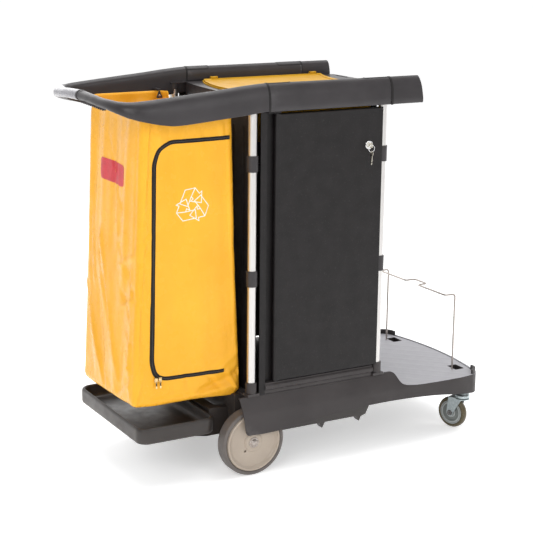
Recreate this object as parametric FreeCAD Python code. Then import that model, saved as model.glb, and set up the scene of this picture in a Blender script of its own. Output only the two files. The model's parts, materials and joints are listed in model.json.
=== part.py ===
import FreeCAD, Part
import math
import os

# Housekeeping cart, in millimetres. +X points to the caddy platform, -X to the waste bag and the
# push bar, -Y is the door side, +Z is up. The origin is on the floor, at the centre of the plan.

V = FreeCAD.Vector
X_AXIS = V(1, 0, 0)
Y_AXIS = V(0, 1, 0)
Z_AXIS = V(0, 0, 1)
NEAR = -1
FAR = 1
SIDES = (("near", NEAR), ("far", FAR))

# ---- driving dimensions -------------------------------------------------------------------------
HALF_LENGTH = 645.0
HALF_WIDTH = 276.0
WALL = 4.0
RUNNING_CLEARANCE = 0.05

# wheels and casters
WHEEL_R = 101.6
WHEEL_WIDTH = 42.0
WHEEL_OUTER_Y = 262.0
TYRE_INNER_R = 88.0
REAR_AXLE_X = -218.0
REAR_AXLE_R = 8.0
CASTER_R = 50.8
CASTER_WIDTH = 25.0
CASTER_TRAIL = 35.0
CASTER_TOE = 70.0
KINGPIN_X = 565.0
KINGPIN_Y = 234.0
KINGPIN_R = 6.0
CASTER_TOP_Z = 127.0

# chassis
FLOOR_Z = 245.0
DECK_Z = 190.0
RIM_Z = 192.0
NOSE_X = 637.0
SKIRT_LEFT_X = -268.0
FLOOR_LEFT_X = -238.0
RISER_X = 236.0

# uprights and cabinet
POLE_R = 12.7
POLE_XS = (-223.0, 212.0)
POLE_Y = 250.0
TOP_PLATE_Z = 1104.0
SHELF_ZS = (588.0, 920.0)
SHELF_NAMES = ("lower", "upper")
COLLAR_HEIGHT = 46.0
CABINET_LEFT_X = -212.0
CABINET_RIGHT_X = 206.0
CABINET_FRONT_Y = -238.0
CABINET_BACK_Y = 247.0

# door
DOOR_LEFT_X = -157.0
DOOR_RIGHT_X = 204.0
DOOR_LIP_X = 195.0
DOOR_BOTTOM_Z = 282.0
DOOR_TOP_Z = 1066.0
DOOR_FRONT_Y = -268.0
DOOR_THICKNESS = 18.0
HINGE_X = DOOR_LEFT_X + DOOR_THICKNESS / 2
HINGE_Y = DOOR_FRONT_Y + DOOR_THICKNESS / 2
HINGE_PIN_R = 3.0
LOCK_X = 155.0
LOCK_Z = 958.0
KEY_BOW_R = 8.5
KEY_HOLE_REACH = 10.5
KEY_HOLE_Y = DOOR_FRONT_Y - 4.0 - KEY_HOLE_REACH
RING_R = 10.0

# top frame
RAIL_BOTTOM_Z = 1075.0
RAIL_TOP_Z = 1152.0
RAIL_WIDTH = 38.0
RAIL_LEFT_X = -183.0
RAIL_RIGHT_X = 228.0
RAIL_SEAM = 1.5
CAP_END_X = 341.0
CAP_SLANT = 13.0
HOOP_STRAIGHT_X = -440.0
HOOP_POWER = 4.6
HOOP_SECTIONS = 30
HOOP_HOLLOW_SECTIONS = 18
# distance along the hoop from the rail joint, then bottom z, top z, width and roundness there
HOOP_KEYS = (
    (0, 1075, 1152, 38, 0.0), (75, 1068, 1147, 38, 0.0), (145, 1062, 1140, 38, 0.0),
    (215, 1056, 1134, 38, 0.0), (285, 1052, 1128, 38, 0.0), (330, 1057, 1124, 38, 0.0),
    (385, 1067, 1120, 38, 0.15), (428, 1077, 1118, 37, 0.35), (450, 1083, 1118, 36, 0.5),
    (476, 1088, 1118, 35, 0.7), (506, 1092, 1120, 33, 0.9), (547, 1094, 1121, 31, 1.0),
    (591, 1097, 1124, 30, 1.0), (690, 1099, 1128, 30, 1.0),
)
PUSH_BAR_COLLAR = 22.0

# bin and lid
BIN_BODY_RIGHT_X = 198.0
BIN_RIGHT_X = 291.0
BIN_MID_RIGHT_X = 241.0
BIN_SIDE_LEFT_X = -137.0
BIN_MID_LEFT_X = -192.0
BIN_HALF_Y = 225.0
BIN_BOTTOM_Z = 972.0
FLANGE_Z = TOP_PLATE_Z + 4.0
FLANGE_THICKNESS = 3.0
LID_THICKNESS = 4.0
LID_HINGE_XS = (-113.0, 244.0)
LID_HINGE_Y = 218.0
LID_PIN_R = 1.5
LID_PIN_Z = FLANGE_Z + FLANGE_THICKNESS + 7.0

# waste bag and its tray
BAG_WALL = 2.0
BAG_BOTTOM_Z = 232.0
BAG_TOP_Z = 1086.0
BAG_HOOK_X = -294.0
ZIP_X = -508.0
ZIP_Z = 324.0
ZIP_FACE_Y = -203.5
TRAY_LEFT_X = -568.0
TRAY_RIGHT_X = -323.0
TRAY_HALF_Y = 228.0
TRAY_BOTTOM_Z = 139.0
TRAY_TOP_Z = 187.0

# caddy wire frame
WIRE_R = 2.8
WIRE_LEG_X = 554.0
WIRE_LEG_Y = 187.0
WIRE_TOP_Z = 440.0


# ---- helpers ------------------------------------------------------------------------------------
def box(x0, x1, y0, y1, z0, z1):
    """Box between two corners, given in any order."""
    low = V(min(x0, x1), min(y0, y1), min(z0, z1))
    return Part.makeBox(abs(x1 - x0), abs(y1 - y0), abs(z1 - z0), low)


def cylinder(radius, start, end):
    """Cylinder from one point to another."""
    axis = end - start
    return Part.makeCylinder(radius, axis.Length, start, axis)


def polygon(points):
    """Closed planar wire through points."""
    return Part.makePolygon(points + [points[0]])


def prism(wire, direction):
    """Solid swept from a closed planar wire."""
    return Part.Face(wire).extrude(direction)


def fused(shapes):
    """One solid out of touching or overlapping shapes."""
    whole = shapes[0].fuse(shapes[1:])
    return whole.removeSplitter()


def rounded_rectangle(x0, x1, y0, y1, z, radius):
    """Closed wire: a rectangle with four equal round corners."""
    bend = radius * (1 - math.sqrt(0.5))
    edges = []
    corners = (
        (V(x1 - radius, y0, z), V(x1 - bend, y0 + bend, z), V(x1, y0 + radius, z)),
        (V(x1, y1 - radius, z), V(x1 - bend, y1 - bend, z), V(x1 - radius, y1, z)),
        (V(x0 + radius, y1, z), V(x0 + bend, y1 - bend, z), V(x0, y1 - radius, z)),
        (V(x0, y0 + radius, z), V(x0 + bend, y0 + bend, z), V(x0 + radius, y0, z)),
    )
    for i, (start, middle, end) in enumerate(corners):
        edges.append(Part.Arc(start, middle, end).toShape())
        following = corners[(i + 1) % len(corners)][0]
        edges.append(Part.LineSegment(end, following).toShape())
    return Part.Wire(edges)


def rounded_path(points, radius):
    """Open wire through points, with an arc of one radius at each bend."""
    edges = []
    start = points[0]
    for before, corner, after in zip(points, points[1:], points[2:]):
        inward = (before - corner).normalize()
        outward = (after - corner).normalize()
        half_turn = inward.getAngle(outward) / 2
        setback = radius / math.tan(half_turn)
        entry = corner + inward * setback
        leave = corner + outward * setback
        bisector = (inward + outward).normalize()
        middle = corner + bisector * (radius / math.sin(half_turn) - radius)
        edges.append(Part.LineSegment(start, entry).toShape())
        edges.append(Part.Arc(entry, middle, leave).toShape())
        start = leave
    edges.append(Part.LineSegment(start, points[-1]).toShape())
    return Part.Wire(edges)


def round_bar(path, radius):
    """Solid round bar along a wire that starts in a straight run."""
    start = path.Edges[0].valueAt(path.Edges[0].FirstParameter)
    tangent = path.Edges[0].tangentAt(path.Edges[0].FirstParameter)
    circle = Part.Wire([Part.makeCircle(radius, start, tangent)])
    return path.makePipeShell([circle], True, False)


def revolved(profile, origin, axis):
    """Solid turned about an axis, from (radius, height) points."""
    side = axis.cross(V(0.31, 0.52, 0.79)).normalize()
    points = [origin + side * r + axis * h for r, h in profile]
    return Part.Face(polygon(points)).revolve(origin, axis, 360)


def mirror_y(shape):
    """The same shape on the other side of the cart."""
    return shape.mirror(V(0, 0, 0), Y_AXIS)


# ---- chassis ------------------------------------------------------------------------------------
def plan_outline(inset, z):
    """Plan of the chassis: straight sides, round corners and a bowed platform end."""
    y = HALF_WIDTH - inset
    taper = 7.0
    left = SKIRT_LEFT_X
    side_end = V(500, -y, z)
    corner_start = V(572 - inset, -y + taper, z)
    corner_end = V(613 - inset, -y + 56, z)
    corner_middle = V(602 - inset, -y + 25, z)
    nose = V(NOSE_X - inset, 0, z)

    def across(p):
        return V(p.x, -p.y, p.z)

    side_middle = V(537, -y + 0.26 * taper, z)
    return Part.Wire([
        Part.LineSegment(V(left, -y, z), side_end).toShape(),
        Part.Arc(side_end, side_middle, corner_start).toShape(),
        Part.Arc(corner_start, corner_middle, corner_end).toShape(),
        Part.Arc(corner_end, nose, across(corner_end)).toShape(),
        Part.Arc(across(corner_end), across(corner_middle), across(corner_start)).toShape(),
        Part.Arc(across(corner_start), across(side_middle), across(side_end)).toShape(),
        Part.LineSegment(across(side_end), V(left, y, z)).toShape(),
        Part.LineSegment(V(left, y, z), V(left, -y, z)).toShape(),
    ])


def bulged_section(inset, bottom, top):
    """Cross-section of the skirts: widest a little above half height, drawn in at top and bottom."""
    y = HALF_WIDTH - inset
    x = SKIRT_LEFT_X - 10
    lower = 5.0
    upper = 16.0
    near_arc = Part.Arc(V(x, -y + lower, bottom), V(x, -y, 188), V(x, -y + upper, top))
    far_arc = Part.Arc(V(x, y - upper, top), V(x, y, 188), V(x, y - lower, bottom))
    return Part.Wire([
        near_arc.toShape(),
        Part.LineSegment(V(x, -y + upper, top), V(x, y - upper, top)).toShape(),
        far_arc.toShape(),
        Part.LineSegment(V(x, y - lower, bottom), V(x, -y + lower, bottom)).toShape(),
    ])


def side_profile():
    """Side view of the chassis skirts and platform rim, as a closed wire at the near side."""
    y = -HALF_WIDTH - 10

    def p(x, z):
        return V(x, y, z)

    hem = Part.BSplineCurve()
    hem.interpolate([p(-236, 131), p(-100, 134), p(37, 149), p(160, 156), p(300, 156),
                     p(450, 146), p(580, 130), p(HALF_LENGTH + 20, 127)])
    wing = Part.BSplineCurve()
    wing.interpolate([p(430, RIM_Z), p(370, RIM_Z + 1.5), p(325, 198), p(303, 204), p(286, 222),
                      p(274, 240), p(258, 247)])
    return Part.Wire([
        Part.LineSegment(p(SKIRT_LEFT_X, 247), p(-252, 145)).toShape(),
        Part.Arc(p(-252, 145), p(-247, 134), p(-236, 131)).toShape(),
        hem.toShape(),
        Part.LineSegment(p(HALF_LENGTH + 20, 127), p(HALF_LENGTH + 20, RIM_Z)).toShape(),
        Part.LineSegment(p(HALF_LENGTH + 20, RIM_Z), p(430, RIM_Z)).toShape(),
        wing.toShape(),
        Part.LineSegment(p(258, 247), p(SKIRT_LEFT_X, 247)).toShape(),
    ])


def chassis():
    """One-piece moulded base: cabinet floor, skirts over the wheels and the caddy platform."""
    across = Y_AXIS * (2 * HALF_WIDTH + 20)
    along = X_AXIS * (2 * HALF_LENGTH)
    envelope = prism(plan_outline(0, 100), Z_AXIS * 160)
    envelope = envelope.common(prism(bulged_section(0, 100, 250), along))
    envelope = envelope.common(prism(side_profile(), across))

    hollow = prism(plan_outline(WALL, 90), Z_AXIS * 160)
    hollow = hollow.common(prism(bulged_section(WALL, 90, 250), along))
    under_floor = box(-400, RISER_X, -300, 300, 90, FLOOR_Z - WALL)
    under_deck = box(RISER_X, HALF_LENGTH, -300, 300, 90, DECK_Z - WALL)
    body = envelope.cut(hollow.common(under_floor)).cut(hollow.common(under_deck))

    deck_recess = prism(plan_outline(6, DECK_Z), Z_AXIS * 80)
    deck_recess = deck_recess.common(prism(bulged_section(6, 100, 250), along))
    deck_recess = deck_recess.fuse(prism(plan_outline(6, DECK_Z), Z_AXIS * 12))
    deck_recess = deck_recess.common(box(RISER_X + WALL, 700, -300, 300, DECK_Z, 300))
    above_floor = box(-400, RISER_X + WALL, -300, 300, FLOOR_Z, 300)
    behind_floor = box(-400, FLOOR_LEFT_X, -256, 256, 90, 300)
    body = body.cut(deck_recess).cut(above_floor).cut(behind_floor)

    additions = [body]
    cuts = []
    for rib_x in (330.0, 450.0):
        rib = box(rib_x - 2, rib_x + 2, -240, 240, 165, DECK_Z - WALL)
        additions.append(rib)
    for side in (NEAR, FAR):
        boss_top = V(KINGPIN_X, side * KINGPIN_Y, DECK_Z - 1)
        boss_bottom = V(KINGPIN_X, side * KINGPIN_Y, CASTER_TOP_Z)
        additions.append(cylinder(15, boss_bottom, boss_top))
        cuts.append(cylinder(KINGPIN_R, boss_bottom, boss_top - Z_AXIS * 5))
        socket_top = V(WIRE_LEG_X, side * WIRE_LEG_Y, DECK_Z)
        additions.append(cylinder(8, socket_top - Z_AXIS * 30, socket_top - Z_AXIS))
        cuts.append(cylinder(WIRE_R + 0.2, socket_top - Z_AXIS * 26, socket_top + Z_AXIS))
        well = box(559, 597, side * 150, side * 200, DECK_Z - 22, DECK_Z - 1)
        additions.append(well)
        cuts.append(box(561, 595, side * 152, side * 198, DECK_Z - 20, DECK_Z + 1))
        lug = prism(plan_outline(1.5, DECK_Z - 2), Z_AXIS * 17)
        lug = lug.cut(prism(plan_outline(7.5, DECK_Z - 3), Z_AXIS * 20))
        additions.append(lug.common(box(576, 611, side * 216, side * 275, DECK_Z - 2, DECK_Z + 15)))
    body = fused(additions)
    for cut in cuts:
        body = body.cut(cut)
    return body


def underframe():
    """Ladder frame under the floor: two beams that carry the axle, cross members and two hooks."""
    beam_inner = 190.0
    beam_outer = 216.0
    shapes = []
    for side in (NEAR, FAR):
        profile = polygon([
            V(-258, side * beam_inner, 241), V(-258, side * beam_inner, 150),
            V(-245, side * beam_inner, 84), V(-190, side * beam_inner, 84),
            V(-170, side * beam_inner, 104), V(36, side * beam_inner, 104),
            V(46, side * beam_inner, 86), V(56, side * beam_inner, 104),
            V(170, side * beam_inner, 104), V(180, side * beam_inner, 86),
            V(186, side * beam_inner, 100), V(204, side * beam_inner, 106),
            V(216, side * beam_inner, 130), V(216, side * beam_inner, 241),
        ])
        shapes.append(prism(profile, Y_AXIS * (side * (beam_outer - beam_inner))))
    for x in (-258.0, -30.0, 190.0):
        shapes.append(box(x, x + 24, -beam_inner, beam_inner, 150, 241))
    frame = fused(shapes)
    for side in (NEAR, FAR):
        # the beams are channels, open towards the middle of the cart
        for x0, x1 in ((-150.0, -38.0), (4.0, 180.0)):
            frame = frame.cut(box(x0, x1, side * (beam_inner - 1), side * (beam_outer - 4), 112, 236))
    axle_hole = cylinder(REAR_AXLE_R, V(REAR_AXLE_X, -300, WHEEL_R), V(REAR_AXLE_X, 300, WHEEL_R))
    return frame.cut(axle_hole)


# ---- big wheels ---------------------------------------------------------------------------------
def rear_axle():
    """Through axle of both big wheels."""
    reach = WHEEL_OUTER_Y + 1
    return cylinder(REAR_AXLE_R, V(REAR_AXLE_X, -reach, WHEEL_R), V(REAR_AXLE_X, reach, WHEEL_R))


def wheel_pieces(side):
    """Moulded disc, tyre and axle cap of one big wheel."""
    axis = V(0, side, 0)
    inner_y = WHEEL_OUTER_Y - WHEEL_WIDTH
    origin = V(REAR_AXLE_X, side * inner_y, WHEEL_R)
    w = WHEEL_WIDTH
    bore = REAR_AXLE_R + RUNNING_CLEARANCE
    disc = revolved([
        (bore, 2), (20, 2), (20, 12), (70, 12), (76, 1.5), (TYRE_INNER_R - 3, 1.5),
        (TYRE_INNER_R, 4), (TYRE_INNER_R, w - 4), (TYRE_INNER_R - 3, w - 0.5), (80, w - 0.5),
        (77, w - 3), (74, w - 6), (30, w - 7), (23, w - 1), (bore, w - 1),
    ], origin, axis)
    vent_x = REAR_AXLE_X - 22 * 1.15
    vent_z = WHEEL_R - 22 * 1.15
    disc = disc.cut(cylinder(3.5, V(vent_x, side * 200, vent_z), V(vent_x, side * 300, vent_z)))
    tyre = revolved([
        (TYRE_INNER_R, 4), (TYRE_INNER_R, w - 4), (91, w - 0.8), (97.5, w - 1.2), (100.5, w - 3.5),
        (WHEEL_R, w - 8), (WHEEL_R, 8), (100.5, 3.5), (97.5, 1.2), (91, 0.8),
    ], origin, axis)
    cap_origin = V(REAR_AXLE_X, side * (WHEEL_OUTER_Y - 0.5), WHEEL_R)
    cap = revolved([
        (0, 1.5), (REAR_AXLE_R, 1.5), (REAR_AXLE_R, 0), (13, 0), (13, 2), (10, 4), (9, 6.5),
        (6, 8), (0, 8.5),
    ], cap_origin, axis)
    return disc, tyre, cap


# ---- swivel casters -----------------------------------------------------------------------------
def caster_axes(side):
    """Kingpin foot, wheel centre, trail direction and axle direction of one caster."""
    toe = math.radians(CASTER_TOE)
    trail = V(-math.cos(toe), -side * math.sin(toe), 0)
    axle = V(math.sin(toe), -side * math.cos(toe), 0)
    kingpin = V(KINGPIN_X, side * KINGPIN_Y, 0)
    centre = kingpin + trail * CASTER_TRAIL + Z_AXIS * CASTER_R
    return kingpin, centre, trail, axle


def caster_race(side):
    """Fixed stem, upper race and riveted head that hold the swivelling fork."""
    kingpin, _, _, _ = caster_axes(side)
    return revolved([
        (0, 96), (8, 96), (10, 98), (10, 101.7), (KINGPIN_R, 101.7), (KINGPIN_R, 105.3),
        (20, 105.3), (23, 109), (23, 116), (19, 121), (17, CASTER_TOP_Z),
        (KINGPIN_R, CASTER_TOP_Z), (KINGPIN_R, DECK_Z - 8), (0, DECK_Z - 8),
    ], kingpin, Z_AXIS)


def caster_fork(side):
    """Pressed fork: a top plate round the kingpin and two legs down to the axle."""
    kingpin, centre, trail, axle = caster_axes(side)
    half_gap = 15.5
    plate = 2.5
    outer = half_gap + plate

    def at(t, n, z):
        return kingpin + trail * t + axle * n + Z_AXIS * z

    top = prism(polygon([at(-16, -outer, 102), at(42, -outer, 102), at(42, outer, 102),
                         at(-16, outer, 102)]), Z_AXIS * 3)
    disc = cylinder(23, at(0, 0, 102), at(0, 0, 105))
    shapes = [top, disc]
    for n0 in (-outer, half_gap):
        eye = cylinder(12, at(CASTER_TRAIL, n0, CASTER_R), at(CASTER_TRAIL, n0 + plate, CASTER_R))
        leg = prism(polygon([at(-8, n0, 105), at(42, n0, 105),
                             at(CASTER_TRAIL + 12, n0, CASTER_R), at(CASTER_TRAIL - 12, n0, CASTER_R)]),
                    axle * plate)
        shapes += [eye, leg]
    fork = fused(shapes)
    fork = fork.cut(cylinder(KINGPIN_R + RUNNING_CLEARANCE, at(0, 0, 95), at(0, 0, 110)))
    return fork.cut(cylinder(4, at(CASTER_TRAIL, -30, CASTER_R), at(CASTER_TRAIL, 30, CASTER_R)))


def caster_wheel(side):
    """Hub, tyre and axle bolt of one caster."""
    _, centre, _, axle = caster_axes(side)
    w = CASTER_WIDTH
    origin = centre - axle * (w / 2)
    hub = revolved([
        (4 + RUNNING_CLEARANCE, -2), (12, -2), (13, 4), (24, 5), (28, 1.5), (36, 1.5), (38, 3),
        (38, w - 3), (36, w - 1.5), (28, w - 1.5), (24, w - 5), (13, w - 4), (12, w + 2),
        (4 + RUNNING_CLEARANCE, w + 2),
    ], origin, axle)
    tyre = revolved([
        (38, 3), (38, w - 3), (41, w - 1), (45, w - 1.5), (48.5, w - 4), (50.2, w - 8),
        (CASTER_R, w / 2), (50.2, 8), (48.5, 4), (45, 1.5), (41, 1),
    ], origin, axle)
    head = 18.0
    bolt = fused([
        cylinder(4, centre - axle * (head + 4), centre + axle * (head + 4)),
        cylinder(7.5, centre - axle * (head + 4), centre - axle * head),
        cylinder(7.5, centre + axle * head, centre + axle * (head + 4)),
    ])
    return hub, tyre, bolt


# ---- tray under the bag -------------------------------------------------------------------------
def bag_tray():
    """Shallow rimmed tray that carries the weight of the filled bag."""
    outline = rounded_rectangle(TRAY_LEFT_X, TRAY_RIGHT_X, -TRAY_HALF_Y, TRAY_HALF_Y, TRAY_BOTTOM_Z, 34)
    body = prism(outline, Z_AXIS * (TRAY_TOP_Z - TRAY_BOTTOM_Z))
    inside = rounded_rectangle(TRAY_LEFT_X + 9, TRAY_RIGHT_X - 9, -TRAY_HALF_Y + 9, TRAY_HALF_Y - 9,
                               TRAY_BOTTOM_Z + 8, 26)
    body = body.cut(prism(inside, Z_AXIS * 60))
    for y in (-110.0, 0.0, 110.0):
        ridge = box(TRAY_LEFT_X + 30, TRAY_RIGHT_X - 30, y - 5, y + 5, TRAY_BOTTOM_Z + 6, TRAY_BOTTOM_Z + 12)
        body = body.fuse(ridge)
    return body.removeSplitter()


def tray_bracket(side):
    """Arm from the end of the underframe to the tray."""
    inner = side * 140.0
    profile = polygon([
        V(-420, inner, TRAY_BOTTOM_Z), V(-420, inner, 128), V(-330, inner, 112), V(-258, inner, 112),
        V(-258, inner, 190), V(-300, inner, 196), V(-321, inner, 196), V(-321, inner, TRAY_BOTTOM_Z),
    ])
    return prism(profile, Y_AXIS * (side * 34))


def tray_beam():
    """Cross beam between the two arms, behind the tray."""
    return box(-318, -284, -140, 140, 150, 190)


# ---- uprights and shelves -----------------------------------------------------------------------
def pole(x, side):
    """Aluminium upright."""
    return cylinder(POLE_R, V(x, side * POLE_Y, FLOOR_Z + 4), V(x, side * POLE_Y, TOP_PLATE_Z))


def pole_socket(x, side):
    """Moulded foot that the upright stands in."""
    y = side * POLE_Y
    foot = box(x - 19, x + 19, y - side * 14, y + side * 17, FLOOR_Z, FLOOR_Z + 8)
    sleeve = cylinder(16.5, V(x, y, FLOOR_Z), V(x, y, FLOOR_Z + 40))
    socket = fused([foot, sleeve])
    return socket.cut(cylinder(POLE_R, V(x, y, FLOOR_Z + 4), V(x, y, FLOOR_Z + 50)))


def shelf(z):
    """Cabinet shelf with a turned-down edge and a collar round each upright."""
    x0 = CABINET_LEFT_X + 3
    x1 = CABINET_RIGHT_X - 3
    plate = box(x0, x1, CABINET_FRONT_Y, CABINET_BACK_Y, z, z + 5)
    edge = box(x0, x1, CABINET_FRONT_Y, CABINET_BACK_Y, z - 18, z + 5)
    edge = edge.cut(box(x0 + 4, x1 - 4, CABINET_FRONT_Y + 4, CABINET_BACK_Y - 4, z - 30, z))
    shapes = [plate, edge]
    for x in POLE_XS:
        inward = 1 if x < 0 else -1
        for side in (NEAR, FAR):
            y = side * POLE_Y
            bottom = V(x, y, z - 15)
            shapes.append(cylinder(POLE_R + 3.5, bottom, bottom + Z_AXIS * COLLAR_HEIGHT))
            shapes.append(box(x, x + inward * 30, side * 240, side * 215, z - 12, z + 5))
    body = fused(shapes)
    for x in POLE_XS:
        for side in (NEAR, FAR):
            foot = V(x, side * POLE_Y, z - 40)
            body = body.cut(cylinder(POLE_R, foot, foot + Z_AXIS * 100))
    return body


def lock_strike():
    """Bracket on the upper shelf that the lock's cam turns behind."""
    z = SHELF_ZS[1]
    foot = box(170, 181.5, -249.5, CABINET_FRONT_Y, z - 16, z - 4)
    plate = box(170, 193, -249.5, -246.5, z - 16, LOCK_Z + 16)
    return fused([foot, plate])


# ---- cabinet ------------------------------------------------------------------------------------
def side_panel(x, z_gaps):
    """Cabinet side panel with shallow pressed flutes, notched where the shelves' corners pass."""
    half_y = 228.0
    panel = box(x, x + 3, -half_y, half_y, FLOOR_Z, TOP_PLATE_Z - 34)
    for i in range(7):
        y = -180 + 60 * i
        panel = panel.cut(box(x - 1, x + 1, y - 6, y + 6, FLOOR_Z + 40, TOP_PLATE_Z - 80))
    for z in z_gaps:
        for side in (NEAR, FAR):
            panel = panel.cut(box(x - 1, x + 4, side * 210, side * 240, z - 13, z + 8))
    return panel


def back_panel():
    """Cabinet back, behind the shelves, between the far uprights and above their feet."""
    x0 = POLE_XS[0] + POLE_R + 4.5
    x1 = POLE_XS[1] - POLE_R - 4.5
    panel = box(x0, x1, CABINET_BACK_Y, CABINET_BACK_Y + 4, FLOOR_Z + 9, TOP_PLATE_Z)
    frame = box(x0 + 18, x1 - 18, CABINET_BACK_Y + 2.5, CABINET_BACK_Y + 5, FLOOR_Z + 25, TOP_PLATE_Z - 45)
    return panel.cut(frame)


def door_sill():
    """Stepped moulding under the door."""
    y_back = CABINET_FRONT_Y - 2
    profile = polygon([
        V(-184, -261, FLOOR_Z), V(-184, -261, 256), V(-184, -267, 260), V(-184, -267, 271),
        V(-184, -262, 275), V(-184, -262, 279), V(-184, y_back, 279), V(-184, y_back, FLOOR_Z),
    ])
    return prism(profile, X_AXIS * 376)


def hinge_post():
    """Door jamb beside the near left upright, with a recess for the door's round edge."""
    points = [(-204, -264), (-184, -264), (-184, -246), (-141, -246), (-141, -242), (-188, -242),
              (-188, -260), (-204, -260)]
    jamb = prism(polygon([V(x, y, 279) for x, y in points]), Z_AXIS * (1072 - 279))
    foot = prism(polygon([V(-204, -264, FLOOR_Z), V(-184.2, -264, FLOOR_Z), V(-184.2, -242, FLOOR_Z),
                          V(-188, -242, FLOOR_Z), V(-188, -260, FLOOR_Z), V(-204, -260, FLOOR_Z)]),
                 Z_AXIS * (279 - FLOOR_Z))
    bracket = box(-184, HINGE_X + 8, -266, -242, DOOR_TOP_Z + 2, DOOR_TOP_Z + 6)
    return fused([jamb, foot, bracket])


def door_pins():
    """Lower and upper hinge pins."""
    lower = cylinder(HINGE_PIN_R, V(HINGE_X, HINGE_Y, 279), V(HINGE_X, HINGE_Y, DOOR_BOTTOM_Z + 12))
    upper = cylinder(HINGE_PIN_R, V(HINGE_X, HINGE_Y, DOOR_TOP_Z - 12), V(HINGE_X, HINGE_Y, DOOR_TOP_Z + 2))
    return Part.makeCompound([lower, upper])


def door_panel():
    """Door: a flat skin with a returned edge, stiffening ribs and a round hinge edge."""
    back_y = DOOR_FRONT_Y + DOOR_THICKNESS
    height = DOOR_TOP_Z - DOOR_BOTTOM_Z
    slab = box(HINGE_X, DOOR_RIGHT_X, DOOR_FRONT_Y, back_y, DOOR_BOTTOM_Z, DOOR_TOP_Z)
    front_edges = [e for e in slab.Edges
                   if abs(e.CenterOfMass.y - DOOR_FRONT_Y) < 0.1 and e.CenterOfMass.x > HINGE_X + 1]
    slab = slab.makeFillet(4, front_edges)
    barrel = cylinder(DOOR_THICKNESS / 2, V(HINGE_X, HINGE_Y, DOOR_BOTTOM_Z), V(HINGE_X, HINGE_Y, DOOR_TOP_Z))
    body = fused([slab, barrel])
    for i in range(3):
        cell = height / 3
        z0 = DOOR_BOTTOM_Z + cell * i + (12 if i == 0 else 2)
        z1 = DOOR_BOTTOM_Z + cell * (i + 1) - (12 if i == 2 else 2)
        body = body.cut(box(HINGE_X + 14, DOOR_LIP_X - 8, DOOR_FRONT_Y + 4, back_y + 1, z0, z1))
    body = body.cut(box(DOOR_LIP_X, DOOR_RIGHT_X + 1, DOOR_FRONT_Y + 3.3, back_y + 1, 200, 1100))
    lock_pad = box(LOCK_X - 18, LOCK_X + 18, DOOR_FRONT_Y + 3, back_y, LOCK_Z - 18, LOCK_Z + 18)
    body = body.fuse(lock_pad).removeSplitter()
    body = body.cut(cylinder(9.5, V(LOCK_X, -300, LOCK_Z), V(LOCK_X, -240, LOCK_Z)))
    for z0, z1 in ((DOOR_BOTTOM_Z - 1, DOOR_BOTTOM_Z + 14), (DOOR_TOP_Z - 14, DOOR_TOP_Z + 1)):
        hole = cylinder(HINGE_PIN_R + RUNNING_CLEARANCE, V(HINGE_X, HINGE_Y, z0), V(HINGE_X, HINGE_Y, z1))
        body = body.cut(hole)
    return body


def lock_body():
    """Barrel and bezel of the cam lock, fixed in the door."""
    front = DOOR_FRONT_Y
    barrel = cylinder(9.5, V(LOCK_X, front, LOCK_Z), V(LOCK_X, front + 22, LOCK_Z))
    bezel = cylinder(12.5, V(LOCK_X, front - 2.5, LOCK_Z), V(LOCK_X, front, LOCK_Z))
    bezel = bezel.makeFillet(1.5, [e for e in bezel.Edges if e.CenterOfMass.y < front - 2])
    body = fused([barrel, bezel])
    bore = cylinder(7 + RUNNING_CLEARANCE, V(LOCK_X, front - 10, LOCK_Z), V(LOCK_X, front + 30, LOCK_Z))
    return body.cut(bore)


def lock_plug():
    """Turning plug of the lock, with the cam on its inner end."""
    front = DOOR_FRONT_Y
    plug = cylinder(7, V(LOCK_X, front - 3.5, LOCK_Z), V(LOCK_X, front + 22.5, LOCK_Z))
    slot = box(LOCK_X - 1, LOCK_X + 1, front - 4, front + 14, LOCK_Z - 4.5, LOCK_Z + 4.5)
    neck = cylinder(4, V(LOCK_X, front + 22.5, LOCK_Z), V(LOCK_X, front + 26, LOCK_Z))
    cam = box(LOCK_X - 6, LOCK_X + 6, front + 23, front + 26, LOCK_Z - 6, LOCK_Z + 30)
    return fused([plug, neck, cam]).cut(slot)


def key(origin, blade, side, length):
    """Key lying in one plane: a blade, and a bow with a hole."""
    normal = blade.cross(side).normalize()
    half_thickness = 0.8

    def at(a, b):
        return origin + blade * a + side * b - normal * half_thickness

    outline = [at(0, -4), at(length * 0.5, -4), at(length * 0.62, -2.5), at(length * 0.75, -4),
               at(length, -1), at(length, 2.5), at(0, 4)]
    shank = prism(polygon(outline), normal * (2 * half_thickness))
    bow_centre = origin - blade * (KEY_BOW_R - 1)
    bow = cylinder(KEY_BOW_R, bow_centre - normal * half_thickness, bow_centre + normal * half_thickness)
    body = fused([shank, bow])
    hole_centre = origin - blade * KEY_HOLE_REACH
    return body.cut(cylinder(2.6, hole_centre - normal * 2, hole_centre + normal * 2))


def lock_key():
    """Key standing in the plug."""
    return key(V(LOCK_X, DOOR_FRONT_Y - 4, LOCK_Z), Y_AXIS, Z_AXIS, 17)


def key_ring():
    """Split ring through the bow of the key in the lock."""
    centre = V(LOCK_X, KEY_HOLE_Y, LOCK_Z - RING_R + 1.2)
    return Part.makeTorus(RING_R, 0.8, centre, Y_AXIS)


def spare_key():
    """Second key, hanging from the ring."""
    ring_foot_z = LOCK_Z - 2 * RING_R + 1.2
    return key(V(LOCK_X, KEY_HOLE_Y, ring_foot_z - 1.6 - KEY_HOLE_REACH), V(0, 0, -1), Y_AXIS, 26)


# ---- top frame ----------------------------------------------------------------------------------
RAIL_SHAPE = ((0.06, 0.0, -130), (0.0, 0.10, -155), (0.0, 0.35, -178), (0.07, 0.63, 158),
              (0.28, 0.88, 125), (0.55, 1.0, 88), (0.80, 0.97, 60), (0.97, 0.84, 32),
              (1.0, 0.50, 2), (1.0, 0.12, -32), (0.94, 0.0, -55), (0.5, 0.0, -92))


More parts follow.
